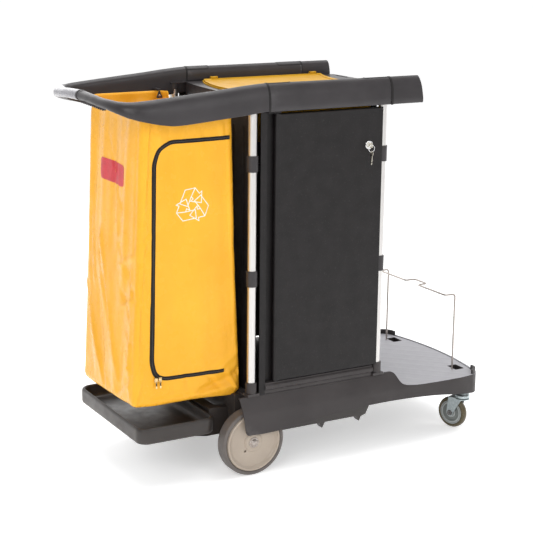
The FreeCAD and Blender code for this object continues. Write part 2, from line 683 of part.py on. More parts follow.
def rail_wire(outer, inward, bottom, top, width, roundness=0.0):
    """Closed section of the top frame, from a bulging channel (0) to a round bar (1)."""
    points = []
    for u, v, angle in RAIL_SHAPE:
        a = math.radians(angle)
        round_u = 0.5 + 0.5 * math.cos(a)
        round_v = 0.5 + 0.5 * math.sin(a)
        across = (u + (round_u - u) * roundness) * width
        height = (v + (round_v - v) * roundness) * (top - bottom)
        points.append(outer + inward * across + Z_AXIS * (bottom + height))
    curve = Part.BSplineCurve()
    curve.interpolate(points, PeriodicFlag=True)
    return Part.Wire([curve.toShape()])


def rail_piece(x0, x1, closed_end=False):
    """Straight length of the near top rail: a hood that is open underneath."""
    along = X_AXIS * (x1 - x0)
    outer_wire = rail_wire(V(x0, -HALF_WIDTH, 0), Y_AXIS, RAIL_BOTTOM_Z, RAIL_TOP_Z, RAIL_WIDTH)
    inner_wire = rail_wire(V(x0, -HALF_WIDTH + WALL, 0), Y_AXIS, RAIL_BOTTOM_Z - 30, RAIL_TOP_Z - WALL,
                           RAIL_WIDTH - 2 * WALL)
    body = prism(outer_wire, along)
    hollow = prism(inner_wire, along)
    if closed_end:
        slant = polygon([V(x1, -400, 1060), V(x1 - CAP_SLANT, -400, RAIL_TOP_Z + 10),
                         V(x1 + 60, -400, RAIL_TOP_Z + 10), V(x1 + 60, -400, 1060)])
        wedge = prism(slant, Y_AXIS * 800)
        body = body.cut(wedge)
        hollow = hollow.cut(wedge.translated(V(-WALL, 0, 0)))
    body = body.cut(hollow)
    return body.cut(box(x0 - 1, x1 + 1, -HALF_WIDTH + 30, 0, RAIL_BOTTOM_Z - 5, FLANGE_Z))


def eased(table, distance):
    """Row of a table at a distance along the hoop, on a smooth curve through the rows."""
    last = len(table) - 1
    i = max(k for k in range(last) if table[k][0] <= distance)
    before, start, end, after = (table[max(0, min(last, i + k))] for k in (-1, 0, 1, 2))
    f = (distance - start[0]) / (end[0] - start[0])
    row = []
    for p, q, r, s in zip(before[1:], start[1:], end[1:], after[1:]):
        bend = 2 * p - 5 * q + 4 * r - s
        twist = 3 * q - p - 3 * r + s
        row.append(q + 0.5 * f * (r - p + f * (bend + f * twist)))
    return row


def hoop_plan(steps=600):
    """Outer edge of the near half of the hoop in plan: a straight side, then a square-shouldered bend."""
    reach = HALF_LENGTH + HOOP_STRAIGHT_X
    points = [V(RAIL_LEFT_X - RAIL_SEAM, -HALF_WIDTH, 0)]
    for i in range(steps + 1):
        t = math.pi / 2 * (1 - i / steps)
        x = HOOP_STRAIGHT_X - reach * max(math.cos(t), 0) ** (2 / HOOP_POWER)
        y = -HALF_WIDTH * max(math.sin(t), 0) ** (2 / HOOP_POWER)
        if y < -PUSH_BAR_COLLAR / 2:
            points.append(V(x, y, 0))
    points.append(V(-HALF_LENGTH, -PUSH_BAR_COLLAR / 2, 0))
    return points


def hoop_stations():
    """Sections along the near half of the bag hoop, from the rail joint to the push bar's middle."""
    plan = hoop_plan()
    distances = [0.0]
    for p, q in zip(plan, plan[1:]):
        distances.append(distances[-1] + (q - p).Length)
    whole = distances[-1]
    stations = []
    for k in range(HOOP_SECTIONS + 1):
        distance = whole * k / HOOP_SECTIONS
        i = max(n for n in range(len(plan) - 1) if distances[n] <= distance)
        f = (distance - distances[i]) / (distances[i + 1] - distances[i])
        foot = plan[i] + (plan[i + 1] - plan[i]) * f
        along = (plan[i + 1] - plan[i]).normalize()
        inward = Z_AXIS.cross(along) * -1
        if k == HOOP_SECTIONS:
            inward = X_AXIS
        if inward.dot(V(-300, 0, 0) - foot) < 0:
            inward = inward * -1
        bottom, top, width, roundness = eased(HOOP_KEYS, min(distance, HOOP_KEYS[-1][0] - 0.1))
        stations.append((foot, inward, bottom, top, width, min(1.0, max(0.0, roundness))))
    return stations


def hoop_half():
    """Near half of the hoop that the bag hangs in, ending at the middle of the push bar."""
    stations = hoop_stations()
    outer = Part.makeLoft([rail_wire(*s) for s in stations], True, True)
    inner_wires = []
    for foot, inward, bottom, top, width, _ in stations[:HOOP_HOLLOW_SECTIONS]:
        inner_wires.append(rail_wire(foot + inward * WALL, inward, bottom - 30, top - WALL, width - 2 * WALL))
    inner = Part.makeLoft(inner_wires, True, True)
    return outer.cut(inner).cut(box(-244, -180, -HALF_WIDTH + 9, -200, 1060, FLANGE_Z))


def push_bar_collar():
    """Sleeve that joins the two halves of the push bar."""
    origin = V(-HALF_LENGTH + 15.6, -PUSH_BAR_COLLAR / 2, 1113.5)
    return revolved([(0, 0), (14, 0), (15.6, 1.5), (15.6, 6), (13, 7.5), (13, PUSH_BAR_COLLAR - 7.5),
                     (15.6, PUSH_BAR_COLLAR - 6), (15.6, PUSH_BAR_COLLAR - 1.5),
                     (14, PUSH_BAR_COLLAR), (0, PUSH_BAR_COLLAR)], origin, Y_AXIS)


def bin_prism(inset, z, height, straight_x=None):
    """Plan of the bin, flange or lid pushed upwards: both ends curve towards the bag, unless the
    platform end is straight."""
    y = BIN_HALF_Y - inset
    left = BIN_SIDE_LEFT_X + inset
    left_end = Part.Arc(V(left, y, z), V(BIN_MID_LEFT_X + inset, 0, z), V(left, -y, z)).toShape()
    if straight_x is None:
        right = BIN_RIGHT_X - inset
        right_end = Part.Arc(V(right, -y, z), V(BIN_MID_RIGHT_X - inset, 0, z), V(right, y, z)).toShape()
    else:
        right = straight_x
        right_end = Part.LineSegment(V(right, -y, z), V(right, y, z)).toShape()
    outline = Part.Wire([
        left_end,
        Part.LineSegment(V(left, -y, z), V(right, -y, z)).toShape(),
        right_end,
        Part.LineSegment(V(right, y, z), V(left, y, z)).toShape(),
    ])
    solid = prism(outline, Z_AXIS * height)
    upright = [e for e in solid.Edges
               if abs(e.BoundBox.ZLength - height) < 0.01 and e.BoundBox.XLength < 0.01]
    return solid.makeFillet(10, upright)


def top_deck():
    """Plate that joins the rails over the cabinet, with skirts below and the bin opening."""
    z = TOP_PLATE_Z
    arc = Part.Arc(V(-190, 236, z), V(-214, 0, z), V(-190, -236, z)).toShape()
    inner_plate = Part.Wire([
        arc,
        Part.LineSegment(V(-190, -236, z), V(347, -236, z)).toShape(),
        Part.LineSegment(V(347, -236, z), V(347, 236, z)).toShape(),
        Part.LineSegment(V(347, 236, z), V(-190, 236, z)).toShape(),
    ])
    plate = prism(inner_plate, Z_AXIS * WALL)
    wide_plate = box(RAIL_LEFT_X + 4, 326, -264, 264, z, z + WALL)
    flange = prism(inner_plate, Z_AXIS * -34)
    flange = flange.cut(box(-182, 343, -300, 300, z - 40, z))
    keep_arc = Part.Wire([
        Part.Arc(V(-186, 232, z), V(-210, 0, z), V(-186, -232, z)).toShape(),
        Part.LineSegment(V(-186, -232, z), V(0, -232, z)).toShape(),
        Part.LineSegment(V(0, -232, z), V(0, 232, z)).toShape(),
        Part.LineSegment(V(0, 232, z), V(-186, 232, z)).toShape(),
    ])
    flange = flange.cut(prism(keep_arc, Z_AXIS * -60))
    shapes = [plate, wide_plate, flange]
    for side in (NEAR, FAR):
        shapes.append(box(POLE_XS[0] - 19, -170, side * 232, side * 264, z, z + WALL))
    for x in POLE_XS:
        for side in (NEAR, FAR):
            top = V(x, side * POLE_Y, z)
            shapes.append(cylinder(POLE_R + 3, top - Z_AXIS * 18, top + Z_AXIS * WALL))
    body = fused(shapes)
    for x in POLE_XS:
        for side in (NEAR, FAR):
            top = V(x, side * POLE_Y, z)
            body = body.cut(cylinder(POLE_R, top - Z_AXIS * 30, top))
    body = body.cut(bin_prism(9, z - 40, 60, BIN_BODY_RIGHT_X))
    return body.cut(box(328, 338, 130, 200, z - 1, z + 6))


def bin_body():
    """Removable bin that hangs in the top deck by its flange."""
    flange = bin_prism(0, FLANGE_Z, FLANGE_THICKNESS)
    depth = FLANGE_Z - BIN_BOTTOM_Z
    body = bin_prism(10, BIN_BOTTOM_Z, depth, BIN_BODY_RIGHT_X - 1)
    whole = fused([flange, body])
    inside = bin_prism(13, BIN_BOTTOM_Z + 3, depth + 20, BIN_BODY_RIGHT_X - 4)
    whole = whole.cut(inside)
    seat_z = FLANGE_Z + FLANGE_THICKNESS
    for x0 in LID_HINGE_XS:
        for x in (x0, x0 + 18):
            ear = box(x, x + 5, LID_HINGE_Y - 5, LID_HINGE_Y + 4, seat_z - 1, seat_z + 11)
            whole = whole.fuse(ear)
    whole = whole.removeSplitter()
    drill = cylinder(LID_PIN_R, V(-150, LID_HINGE_Y, LID_PIN_Z), V(300, LID_HINGE_Y, LID_PIN_Z))
    return whole.cut(drill)


def lid():
    """Hinged lid of the bin, with a raised rim and a barrel at each hinge."""
    z = FLANGE_Z + FLANGE_THICKNESS + 0.4
    plate = bin_prism(3, z, LID_THICKNESS)
    dish = bin_prism(20, z + 2.6, 10)
    body = plate.cut(dish)
    body = body.cut(box(-300, 400, LID_HINGE_Y + 1, BIN_HALF_Y + 5, z - 1, z + 20))
    for x0 in LID_HINGE_XS:
        notch = box(x0 - 1, x0 + 24, LID_HINGE_Y - 9, BIN_HALF_Y + 5, z - 1, z + 20)
        body = body.cut(notch)
    shapes = [body]
    for x0 in LID_HINGE_XS:
        start = V(x0 + 5.4, LID_HINGE_Y, LID_PIN_Z)
        barrel = cylinder(4, start, start + X_AXIS * 12.2)
        web = box(x0 + 5.4, x0 + 17.6, LID_HINGE_Y - 12, LID_HINGE_Y, z + 1, z + 4)
        shapes += [barrel, web]
    body = fused(shapes)
    for x0 in LID_HINGE_XS:
        start = V(x0 - 5, LID_HINGE_Y, LID_PIN_Z)
        body = body.cut(cylinder(LID_PIN_R + RUNNING_CLEARANCE, start, start + X_AXIS * 35))
    return body


def lid_pins():
    """Two short steel pins of the lid hinges."""
    pins = []
    for x0 in LID_HINGE_XS:
        pins.append(cylinder(LID_PIN_R, V(x0, LID_HINGE_Y, LID_PIN_Z), V(x0 + 23, LID_HINGE_Y, LID_PIN_Z)))
    return Part.makeCompound(pins)


# ---- waste bag ----------------------------------------------------------------------------------
def bag_loft(inset, bottom_z, top_z):
    """Solid between the bag's square bottom, which clears the chassis floor, and its rounder mouth."""
    low = rounded_rectangle(-568 + inset, -272 - inset, -199 + inset, 199 - inset, bottom_z, 14)
    shoulder = rounded_rectangle(-568 + inset, -236 - inset, -201 + inset, 201 - inset, FLOOR_Z + 17, 14)
    high = rounded_rectangle(-532 + inset, -275 - inset, -224 + inset, 224 - inset, top_z, 42)
    return Part.makeLoft([low, shoulder, high], True, True)


def bag():
    """Vinyl bag, open at the top."""
    outside = bag_loft(0, BAG_BOTTOM_Z, BAG_TOP_Z)
    return outside.cut(bag_loft(BAG_WALL, BAG_BOTTOM_Z + BAG_WALL, BAG_TOP_Z + 1))


def bag_hooks():
    """Two clips from the hoop over the bag's rim, near the cabinet."""
    clips = []
    for side in (NEAR, FAR):
        x = BAG_HOOK_X
        arm = box(x - 7, x + 7, side * 204, side * 237, BAG_TOP_Z + 4, BAG_TOP_Z + 10)
        leg = box(x - 7, x + 7, side * 204, side * 207, BAG_TOP_Z - 26, BAG_TOP_Z + 10)
        clips.append(fused([arm, leg]))
    return Part.makeCompound(clips)


def zip_slider(x):
    """Zip slider with its pull tab, on the near face of the bag."""
    saddle = box(x - 4, x + 4, ZIP_FACE_Y - 4, ZIP_FACE_Y, ZIP_Z - 6, ZIP_Z + 6)
    tab = box(x - 2.5, x + 2.5, ZIP_FACE_Y - 5.5, ZIP_FACE_Y - 3.5, ZIP_Z - 30, ZIP_Z)
    return fused([saddle, tab])


# ---- caddy wire frame ---------------------------------------------------------------------------
def wire_frame():
    """Removable wire frame that stands in two sockets of the platform."""
    back_x = WIRE_LEG_X - 36
    half_jog = 34.0
    top = WIRE_TOP_Z
    near_half = [
        V(WIRE_LEG_X, -WIRE_LEG_Y, DECK_Z - 18), V(WIRE_LEG_X, -WIRE_LEG_Y, top),
        V(back_x, -WIRE_LEG_Y + 4, top), V(back_x, -half_jog, top), V(WIRE_LEG_X, -half_jog, top),
    ]
    far_half = [V(p.x, -p.y, p.z) for p in reversed(near_half)]
    return round_bar(rounded_path(near_half + far_half, 9), WIRE_R)


# ---- assembly -----------------------------------------------------------------------------------
def build():
    """All pieces by node name."""
    nodes = {
        "chassis": chassis(),
        "underframe": underframe(),
        "rear_axle": rear_axle(),
        "pole_feet": Part.makeCompound([pole_socket(x, side) for x in POLE_XS for side in (NEAR, FAR)]),
        "bag_tray": bag_tray(),
        "tray_beam": tray_beam(),
        "door_sill": door_sill(),
        "hinge_post": hinge_post(),
        "door_pins": door_pins(),
        "door_panel": door_panel(),
        "lock_strike": lock_strike(),
        "lock_body": lock_body(),
        "lock_plug": lock_plug(),
        "lock_key": lock_key(),
        "key_ring": key_ring(),
        "spare_key": spare_key(),
        "back_panel": back_panel(),
        "panel_bag_end": side_panel(CABINET_LEFT_X, SHELF_ZS),
        "panel_platform_end": side_panel(CABINET_RIGHT_X - 3, SHELF_ZS),
        "top_deck": top_deck(),
        "push_bar_collar": push_bar_collar(),
        "bin": bin_body(),
        "bin_lid": lid(),
        "lid_pins": lid_pins(),
        "bag": bag(),
        "bag_hooks": bag_hooks(),
        "zip_slider_a": zip_slider(ZIP_X),
        "zip_slider_b": zip_slider(ZIP_X + 13),
        "wire_frame": wire_frame(),
    }
    for name, z in zip(SHELF_NAMES, SHELF_ZS):
        nodes["shelf_" + name] = shelf(z)
    near_rail = rail_piece(RAIL_LEFT_X + RAIL_SEAM, RAIL_RIGHT_X - RAIL_SEAM)
    near_cap = rail_piece(RAIL_RIGHT_X + RAIL_SEAM, CAP_END_X, closed_end=True)
    near_hoop = hoop_half()
    for name, side in SIDES:
        disc, tyre, cap = wheel_pieces(side)
        nodes["wheel_disc_" + name] = disc
        nodes["wheel_tyre_" + name] = tyre
        nodes["axle_cap_" + name] = cap
        hub, caster_tyre, bolt = caster_wheel(side)
        nodes["caster_race_" + name] = caster_race(side)
        nodes["caster_fork_" + name] = caster_fork(side)
        nodes["caster_hub_" + name] = hub
        nodes["caster_tyre_" + name] = caster_tyre
        nodes["caster_bolt_" + name] = bolt
        nodes["tray_bracket_" + name] = tray_bracket(side)
        nodes["rail_" + name] = near_rail if side == NEAR else mirror_y(near_rail)
        nodes["rail_cap_" + name] = near_cap if side == NEAR else mirror_y(near_cap)
        nodes["hoop_" + name] = near_hoop if side == NEAR else mirror_y(near_hoop)
        for end, x in zip(("bag", "platform"), POLE_XS):
            nodes["pole_" + end + "_" + name] = pole(x, side)
    return nodes


os.makedirs("parts", exist_ok=True)
for node, shape in build().items():
    shape.exportStep("parts/" + node + ".step")
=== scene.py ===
import json
import math

import bmesh
import bpy
import numpy as np
from mathutils import Matrix, Vector, noise
from mathutils.bvhtree import BVHTree


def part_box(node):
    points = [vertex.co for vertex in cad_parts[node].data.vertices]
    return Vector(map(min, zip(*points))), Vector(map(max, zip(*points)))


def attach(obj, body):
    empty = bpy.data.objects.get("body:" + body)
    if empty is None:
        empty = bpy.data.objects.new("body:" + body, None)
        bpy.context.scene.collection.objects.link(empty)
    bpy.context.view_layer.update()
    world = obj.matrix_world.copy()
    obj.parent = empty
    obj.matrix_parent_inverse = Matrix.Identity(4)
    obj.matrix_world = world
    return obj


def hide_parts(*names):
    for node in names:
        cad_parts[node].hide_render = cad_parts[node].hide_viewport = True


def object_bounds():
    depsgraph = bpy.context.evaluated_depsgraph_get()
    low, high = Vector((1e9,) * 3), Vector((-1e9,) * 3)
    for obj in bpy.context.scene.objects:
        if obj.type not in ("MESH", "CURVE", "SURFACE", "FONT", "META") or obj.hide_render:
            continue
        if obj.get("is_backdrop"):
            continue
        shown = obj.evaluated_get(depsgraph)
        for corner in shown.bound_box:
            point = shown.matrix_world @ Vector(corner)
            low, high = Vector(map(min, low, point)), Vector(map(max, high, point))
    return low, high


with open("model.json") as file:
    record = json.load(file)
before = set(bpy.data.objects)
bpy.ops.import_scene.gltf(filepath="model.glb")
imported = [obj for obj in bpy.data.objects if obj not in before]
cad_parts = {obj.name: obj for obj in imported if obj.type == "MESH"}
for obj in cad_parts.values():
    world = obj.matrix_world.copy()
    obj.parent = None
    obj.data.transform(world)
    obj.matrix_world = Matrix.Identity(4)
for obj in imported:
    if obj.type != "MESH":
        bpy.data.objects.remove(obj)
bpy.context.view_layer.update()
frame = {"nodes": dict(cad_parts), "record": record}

NODES = frame["nodes"]
RECORD = frame["record"]
JOINTS = {j["name"]: j for j in RECORD["behaviour"]["joints"]}
SLOT_OF = {s["node"]: s["material_slot"] for s in RECORD["subparts"]}
SIDES = (("near", -1), ("far", 1))


# ---- shader helpers ----
def feed(tree, kind, output, inputs, **settings):
    """New shader node whose inputs are values or linked from other nodes' outputs; returns one output."""
    made = tree.nodes.new("ShaderNode" + kind)
    for key, value in settings.items():
        setattr(made, key, value)
    for key, value in inputs.items():
        if isinstance(value, bpy.types.NodeSocket):
            tree.links.new(value, made.inputs[key])
        else:
            made.inputs[key].default_value = value
    return made.outputs[output]


class Surface:
    """A procedural material: a Principled shader fed by noise in the object's own coordinates."""

    def __init__(self, name, rough=0.5, metallic=0.0, specular=0.5, subsurface=0.0):
        self.material = bpy.data.materials.new(name)
        self.material.use_nodes = True
        self.tree = self.material.node_tree
        self.shader = self.tree.nodes["Principled BSDF"]
        for key, value in (("Roughness", rough), ("Metallic", metallic), ("Specular IOR Level", specular),
                           ("Subsurface Weight", subsurface)):
            self.shader.inputs[key].default_value = value
        self.coords = self.node("TexCoord", "Object", {})
        self.colour = None
        self.height = None

    def node(self, kind, output, inputs, **settings):
        return feed(self.tree, kind, output, inputs, **settings)

    def drive(self, name, value):
        """Links a value to an input of the shader."""
        self.tree.links.new(value, self.shader.inputs[name])

    def stretched(self, stretch):
        """The object's own coordinates, scaled along each axis."""
        return self.node("Mapping", "Vector", {"Vector": self.coords, "Scale": stretch})

    def noise(self, scale, detail=3.0, rough=0.55, stretch=(1, 1, 1), distortion=0.0):
        inputs = {"Scale": scale, "Detail": detail, "Roughness": rough, "Distortion": distortion}
        return self.node("TexNoise", "Fac", {"Vector": self.stretched(stretch), **inputs})

    def cells(self, scale):
        inputs = {"Vector": self.coords, "Scale": scale}
        return self.node("TexVoronoi", "Distance", inputs, feature="SMOOTH_F1")

    def wave(self, scale, direction, coords=None):
        return self.node("TexWave", "Fac", {"Vector": coords or self.coords, "Scale": scale},
                         wave_type="BANDS", bands_direction=direction)

    def spread(self, value, low, high, to_low=0.0, to_high=1.0):
        return self.node("MapRange", "Result", {"Value": value, "From Min": low, "From Max": high,
                                                "To Min": to_low, "To Max": to_high})

    def clouds(self, scale, detail, low=0.35, high=0.65):
        """Soft patches: noise between two levels, spread from none to full."""
        return self.spread(self.noise(scale, detail), low, high)

    def math(self, operation, a, b):
        return self.node("Math", "Value", {0: a, 1: b}, operation=operation)

    def geometry(self, output):
        return self.node("NewGeometry", output, {})

    def upward(self, vector):
        """The Z of a vector."""
        return self.node("SeparateXYZ", "Z", {"Vector": vector})

    def mix(self, under, colour, factor):
        self.colour = self.node("Mix", "Result", {"A": under, "B": (*colour, 1), "Factor": factor},
                                data_type="RGBA")
        self.drive("Base Color", self.colour)

    def base(self, dark, light, factor):
        self.mix((*dark, 1), light, factor)

    def tint(self, colour, factor):
        self.mix(self.colour, colour, factor)

    def roughness(self, factor, low, high):
        self.drive("Roughness", self.spread(factor, 0.3, 0.7, low, high))

    def bump(self, height, distance, strength=1.0):
        inputs = {"Height": height, "Distance": distance, "Strength": strength}
        if self.height is not None:
            inputs["Normal"] = self.height
        self.height = self.node("Bump", "Normal", inputs)
        self.drive("Normal", self.height)


def moulded(name, dark, light, rough, wear_and_sheen=None, specular=0.5):
    """Injection or rotation moulded plastic with a fine grain, faint clouding and paler edges, painted partly
    as wear and partly as a sheen highlight.
    """
    s = Surface(name, rough=rough, specular=specular)
    s.base(dark, light, s.clouds(7, 5))
    if wear_and_sheen:
        # paler convex edges: partly painted wear and partly a painted highlight (sheen); the streaky scuffs
        # below are wear
        edges = s.spread(s.geometry("Pointiness"), 0.53, 0.66)
        patchy = s.math("MULTIPLY", edges, s.clouds(60, 4, 0.4, 0.6))
        s.tint(wear_and_sheen, s.math("MULTIPLY", patchy, 0.5))
        scuffs = s.spread(s.noise(26, 8, 0.75, (1, 1, 4)), 0.66, 0.78)
        s.tint(wear_and_sheen, s.math("MULTIPLY", scuffs, 0.25))
    s.roughness(s.noise(40, 4), rough - 0.06, rough + 0.08)
    s.bump(s.noise(900, 2), 0.00012, 0.7)
    s.bump(s.noise(9, 2), 0.0012, 0.25)
    return s


def finish_door():
    s = Surface("door_pebble", rough=0.46, specular=0.28)
    s.base((0.0058, 0.0046, 0.0048), (0.0108, 0.009, 0.0094), s.clouds(22, 6, 0.3, 0.7))
    s.tint((0.055, 0.051, 0.049), s.math("MULTIPLY", s.clouds(240, 3, 0.6, 0.75), 0.35))
    s.roughness(s.noise(60, 5), 0.38, 0.52)
    s.bump(s.cells(620), 0.00022, 0.8)
    s.bump(s.noise(150, 3), 0.0005, 0.35)
    return s


def finish_vinyl():
    s = Surface("yellow_vinyl", rough=0.27, specular=0.19)
    s.base((0.81, 0.388, 0.026), (0.87, 0.425, 0.033), s.clouds(5, 5))
    s.roughness(s.noise(18, 5), 0.20, 0.32)
    s.bump(s.wave(210, "Z"), 0.00006, 0.5)
    s.bump(s.wave(210, "X"), 0.00006, 0.5)
    s.bump(s.noise(32, 4, 0.5), 0.0011, 0.5)
    s.bump(s.noise(11, 3, 0.5, (1.6, 1.6, 0.5), 0.4), 0.004, 0.5)
    return s


def finish_aluminium():
    s = Surface("aluminium_tube", rough=0.34, metallic=1.0)
    s.base((0.55, 0.535, 0.52), (0.67, 0.655, 0.64), s.noise(1, 4, 0.6, (700, 700, 3)))
    s.roughness(s.noise(1, 3, 0.6, (400, 400, 4)), 0.28, 0.42)
    s.bump(s.noise(1, 3, 0.6, (1500, 1500, 6)), 0.00005, 0.5)
    return s


def finish_metal(name, dark, light, rough, scale=180):
    s = Surface(name, rough=rough, metallic=1.0)
    s.base(dark, light, s.clouds(scale, 5))
    s.roughness(s.noise(scale * 2, 4), rough - 0.05, rough + 0.1)
    s.bump(s.noise(scale * 5, 2), 0.0001, 0.4)
    return s


def finish_coat():
    s = Surface("black_powder_coat", rough=0.5)
    s.base((0.018, 0.017, 0.017), (0.03, 0.028, 0.028), s.clouds(30, 4))
    s.roughness(s.noise(90, 3), 0.42, 0.6)
    s.bump(s.noise(700, 2), 0.00015, 0.8)
    return s


def finish_tyre(name, dark, light, rough, specular=0.4, subsurface=0.0):
    s = Surface(name, rough=rough, specular=specular, subsurface=subsurface)
    s.base(dark, light, s.clouds(35, 5, 0.3, 0.7))
    dust = s.math("MULTIPLY", s.spread(s.noise(90, 6, 0.7), 0.6, 0.8), 0.35)
    s.tint(tuple(c * 1.8 for c in light), dust)
    s.roughness(s.noise(50, 4), rough - 0.08, rough + 0.12)
    s.bump(s.noise(500, 2), 0.00018, 0.6)
    return s


# the platform's top is the only upward face of the base under this height
PLATFORM_BELOW = 0.2


def finish_base():
    """Charcoal moulding whose caddy platform top is painted paler, a painted reflection of the backdrop, and
    is faintly ribbed.
    """
    s = moulded("charcoal_base", (0.029, 0.0245, 0.0245), (0.039, 0.0335, 0.0335), 0.46,
                wear_and_sheen=(0.11, 0.10, 0.10), specular=0.34)
    facing_up = s.spread(s.upward(s.geometry("Normal")), 0.9, 0.97)
    on_deck = s.math("MULTIPLY", facing_up, s.math("LESS_THAN", s.upward(s.coords), PLATFORM_BELOW))
    # painted reflection: the platform's upward top is tinted pale grey-lavender, standing in for the white
    # backdrop reflected in it
    s.tint((0.36, 0.355, 0.378), s.math("MULTIPLY", on_deck, 0.9))
    diagonal = s.wave(9, "DIAGONAL", s.stretched((1, 1, 0)))
    ribs = s.math("MULTIPLY", s.spread(diagonal, 0.75, 0.95), on_deck)
    s.bump(ribs, 0.0007, 0.6)
    return s


FINISHES = {
    "base_plastic": finish_base(),
    "frame_plastic": moulded("charcoal_frame", (0.0245, 0.0215, 0.023), (0.034, 0.030, 0.032), 0.38,
                             wear_and_sheen=(0.10, 0.095, 0.10), specular=0.38),
    # painted reflection: the tray's charcoal is tinted brown, standing in for the yellow bag reflected in it
    "tray_plastic": moulded("charcoal_tray", (0.0235, 0.0185, 0.0165), (0.033, 0.027, 0.0245), 0.38,
                            wear_and_sheen=(0.10, 0.09, 0.08)),
    "black_plastic": finish_door(),
    "painted_steel": finish_coat(),
    "upright_aluminium": finish_aluminium(),
    "bag_vinyl": finish_vinyl(),
    "yellow_plastic": moulded("yellow_moulded", (0.45, 0.235, 0.007), (0.505, 0.27, 0.010), 0.46,
                              wear_and_sheen=(0.66, 0.46, 0.10), specular=0.12),
    "zip_brass": finish_metal("zip_brass", (0.62, 0.46, 0.22), (0.78, 0.62, 0.34), 0.25),
    "wheel_beige": moulded("wheel_beige", (0.35, 0.29, 0.235), (0.42, 0.355, 0.29), 0.42,
                           wear_and_sheen=(0.58, 0.52, 0.45)),
    "wheel_tyre": finish_tyre("tyre_grey", (0.105, 0.092, 0.085), (0.135, 0.12, 0.112), 0.55),
    "caster_zinc": finish_metal("caster_zinc", (0.33, 0.375, 0.385), (0.46, 0.51, 0.52), 0.36),
    "caster_hub_plastic": moulded("caster_hub_grey", (0.125, 0.137, 0.13), (0.175, 0.19, 0.18), 0.4,
                                  wear_and_sheen=(0.42, 0.44, 0.43)),
    "caster_tread": finish_tyre("tread_olive", (0.060, 0.046, 0.018), (0.085, 0.066, 0.028), 0.30, 0.5, 0.05),
    "lock_chrome": finish_metal("lock_chrome", (0.78, 0.78, 0.78), (0.88, 0.88, 0.88), 0.14, 120),
    "key_nickel": finish_metal("key_nickel", (0.60, 0.56, 0.47), (0.76, 0.72, 0.62), 0.24, 300),
    "wire_steel": finish_metal("wire_steel", (0.34, 0.30, 0.275), (0.46, 0.415, 0.385), 0.30, 200),
}
for node, thing in NODES.items():
    if not thing.material_slots:
        thing.data.materials.append(None)
    for material_slot in thing.material_slots:
        material_slot.material = FINISHES[SLOT_OF[node]].material


# ---- mesh helpers ----
def piece(name, verts, faces, body, finish, angle=40, slot=None):
    """New piece that rides on a body, in a finish named by a record slot or given as a Surface."""
    mesh = bpy.data.meshes.new(name)
    mesh.from_pydata([tuple(map(float, v)) for v in verts], [], faces)
    bm = bmesh.new()
    bm.from_mesh(mesh)
    bmesh.ops.remove_doubles(bm, verts=bm.verts, dist=1e-6)
    bmesh.ops.dissolve_degenerate(bm, edges=bm.edges, dist=1e-7)
    bmesh.ops.recalc_face_normals(bm, faces=bm.faces)
    bm.to_mesh(mesh)
    bm.free()
    mesh.polygons.foreach_set("use_smooth", [True] * len(mesh.polygons))
    mesh.set_sharp_from_angle(angle=math.radians(angle))
    obj = bpy.data.objects.new(name, mesh)
    bpy.context.scene.collection.objects.link(obj)
    if isinstance(finish, str):
        slot = slot or finish
        finish = FINISHES[finish]
    mesh.materials.append(finish.material)
    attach(obj, body)
    return obj


class Parts:
    """Collects the vertices and faces of several closed forms into one piece."""

    def __init__(self):
        self.verts = []
        self.faces = []

    def add(self, verts, faces):
        start = len(self.verts)
        self.verts += [Vector(v) for v in verts]
        self.faces += [[start + i for i in f] for f in faces]

    def piece(self, name, body, finish, angle=40, slot=None):
        return piece(name, self.verts, self.faces, body, finish, angle, slot)


def grid_faces(rows, cols, wrap_rows=False, wrap_cols=False):
    faces = []
    for i in range(rows if wrap_rows else rows - 1):
        for j in range(cols if wrap_cols else cols - 1):
            a, b = i * cols + j, i * cols + (j + 1) % cols
            c, d = ((i + 1) % rows) * cols + (j + 1) % cols, ((i + 1) % rows) * cols + j
            faces.append((a, b, c, d))
    return faces


def capped(rows, cols):
    """Faces of a grid closed round its columns, with one face over each end."""
    last = (rows - 1) * cols
    return grid_faces(rows, cols, False, True) + [list(range(cols))[::-1], list(range(last, last + cols))]


def doubled(sheet, count, borders):
    """Faces of a sheet of count points and of its turned copy, joined along closed borders."""
    faces = sheet + [tuple(count + i for i in f[::-1]) for f in sheet]
    for border in borders:
        faces += [(a, b, count + b, count + a) for a, b in zip(border, border[1:] + border[:1])]
    return faces


def rounded(points, radius, steps=4, closed=True):
    """Polygon with each corner replaced by an arc no larger than its edges allow."""
    result = []
    count = len(points)
    for i, point in enumerate(points):
        p = Vector(point)
        if not closed and i in (0, count - 1):
            result.append(p)
            continue
        before, after = Vector(points[i - 1]), Vector(points[(i + 1) % count])
        a, b = before - p, after - p
        half = a.angle(b) / 2
        if half > math.radians(89) or half < 1e-3:
            result.append(p)
            continue
        setback = min(radius / math.tan(half), 0.45 * a.length, 0.45 * b.length)
        r = setback * math.tan(half)
        a.normalize()
        b.normalize()
        centre = p + (a + b).normalized() * (r / math.sin(half))
        start, end = p + a * setback - centre, p + b * setback - centre
        turn = start.angle(end)
        for k in range(steps + 1):
            a = turn * k / steps
            result.append(centre + (start * math.sin(turn - a) + end * math.sin(a)) / math.sin(turn))
    return result


def lathe(profile, origin, axis, segments=96, radius=0.0, steps=3):
    """Closed turned form from (radius, height) points in millimetres about an axis."""
    if radius:
        profile = [(p.x, p.y) for p in rounded([Vector((r, h, 0)) for r, h in profile], radius, steps)]
    axis = Vector(axis).normalized()
    side = axis.orthogonal().normalized()
    other = axis.cross(side)
    verts = []
    for k in range(segments):
        a = 2 * math.pi * k / segments
        spoke = side * math.cos(a) + other * math.sin(a)
        for r, h in profile:
            verts.append(Vector(origin) + spoke * (r / 1000) + axis * (h / 1000))
    return verts, grid_faces(segments, len(profile), True, True)


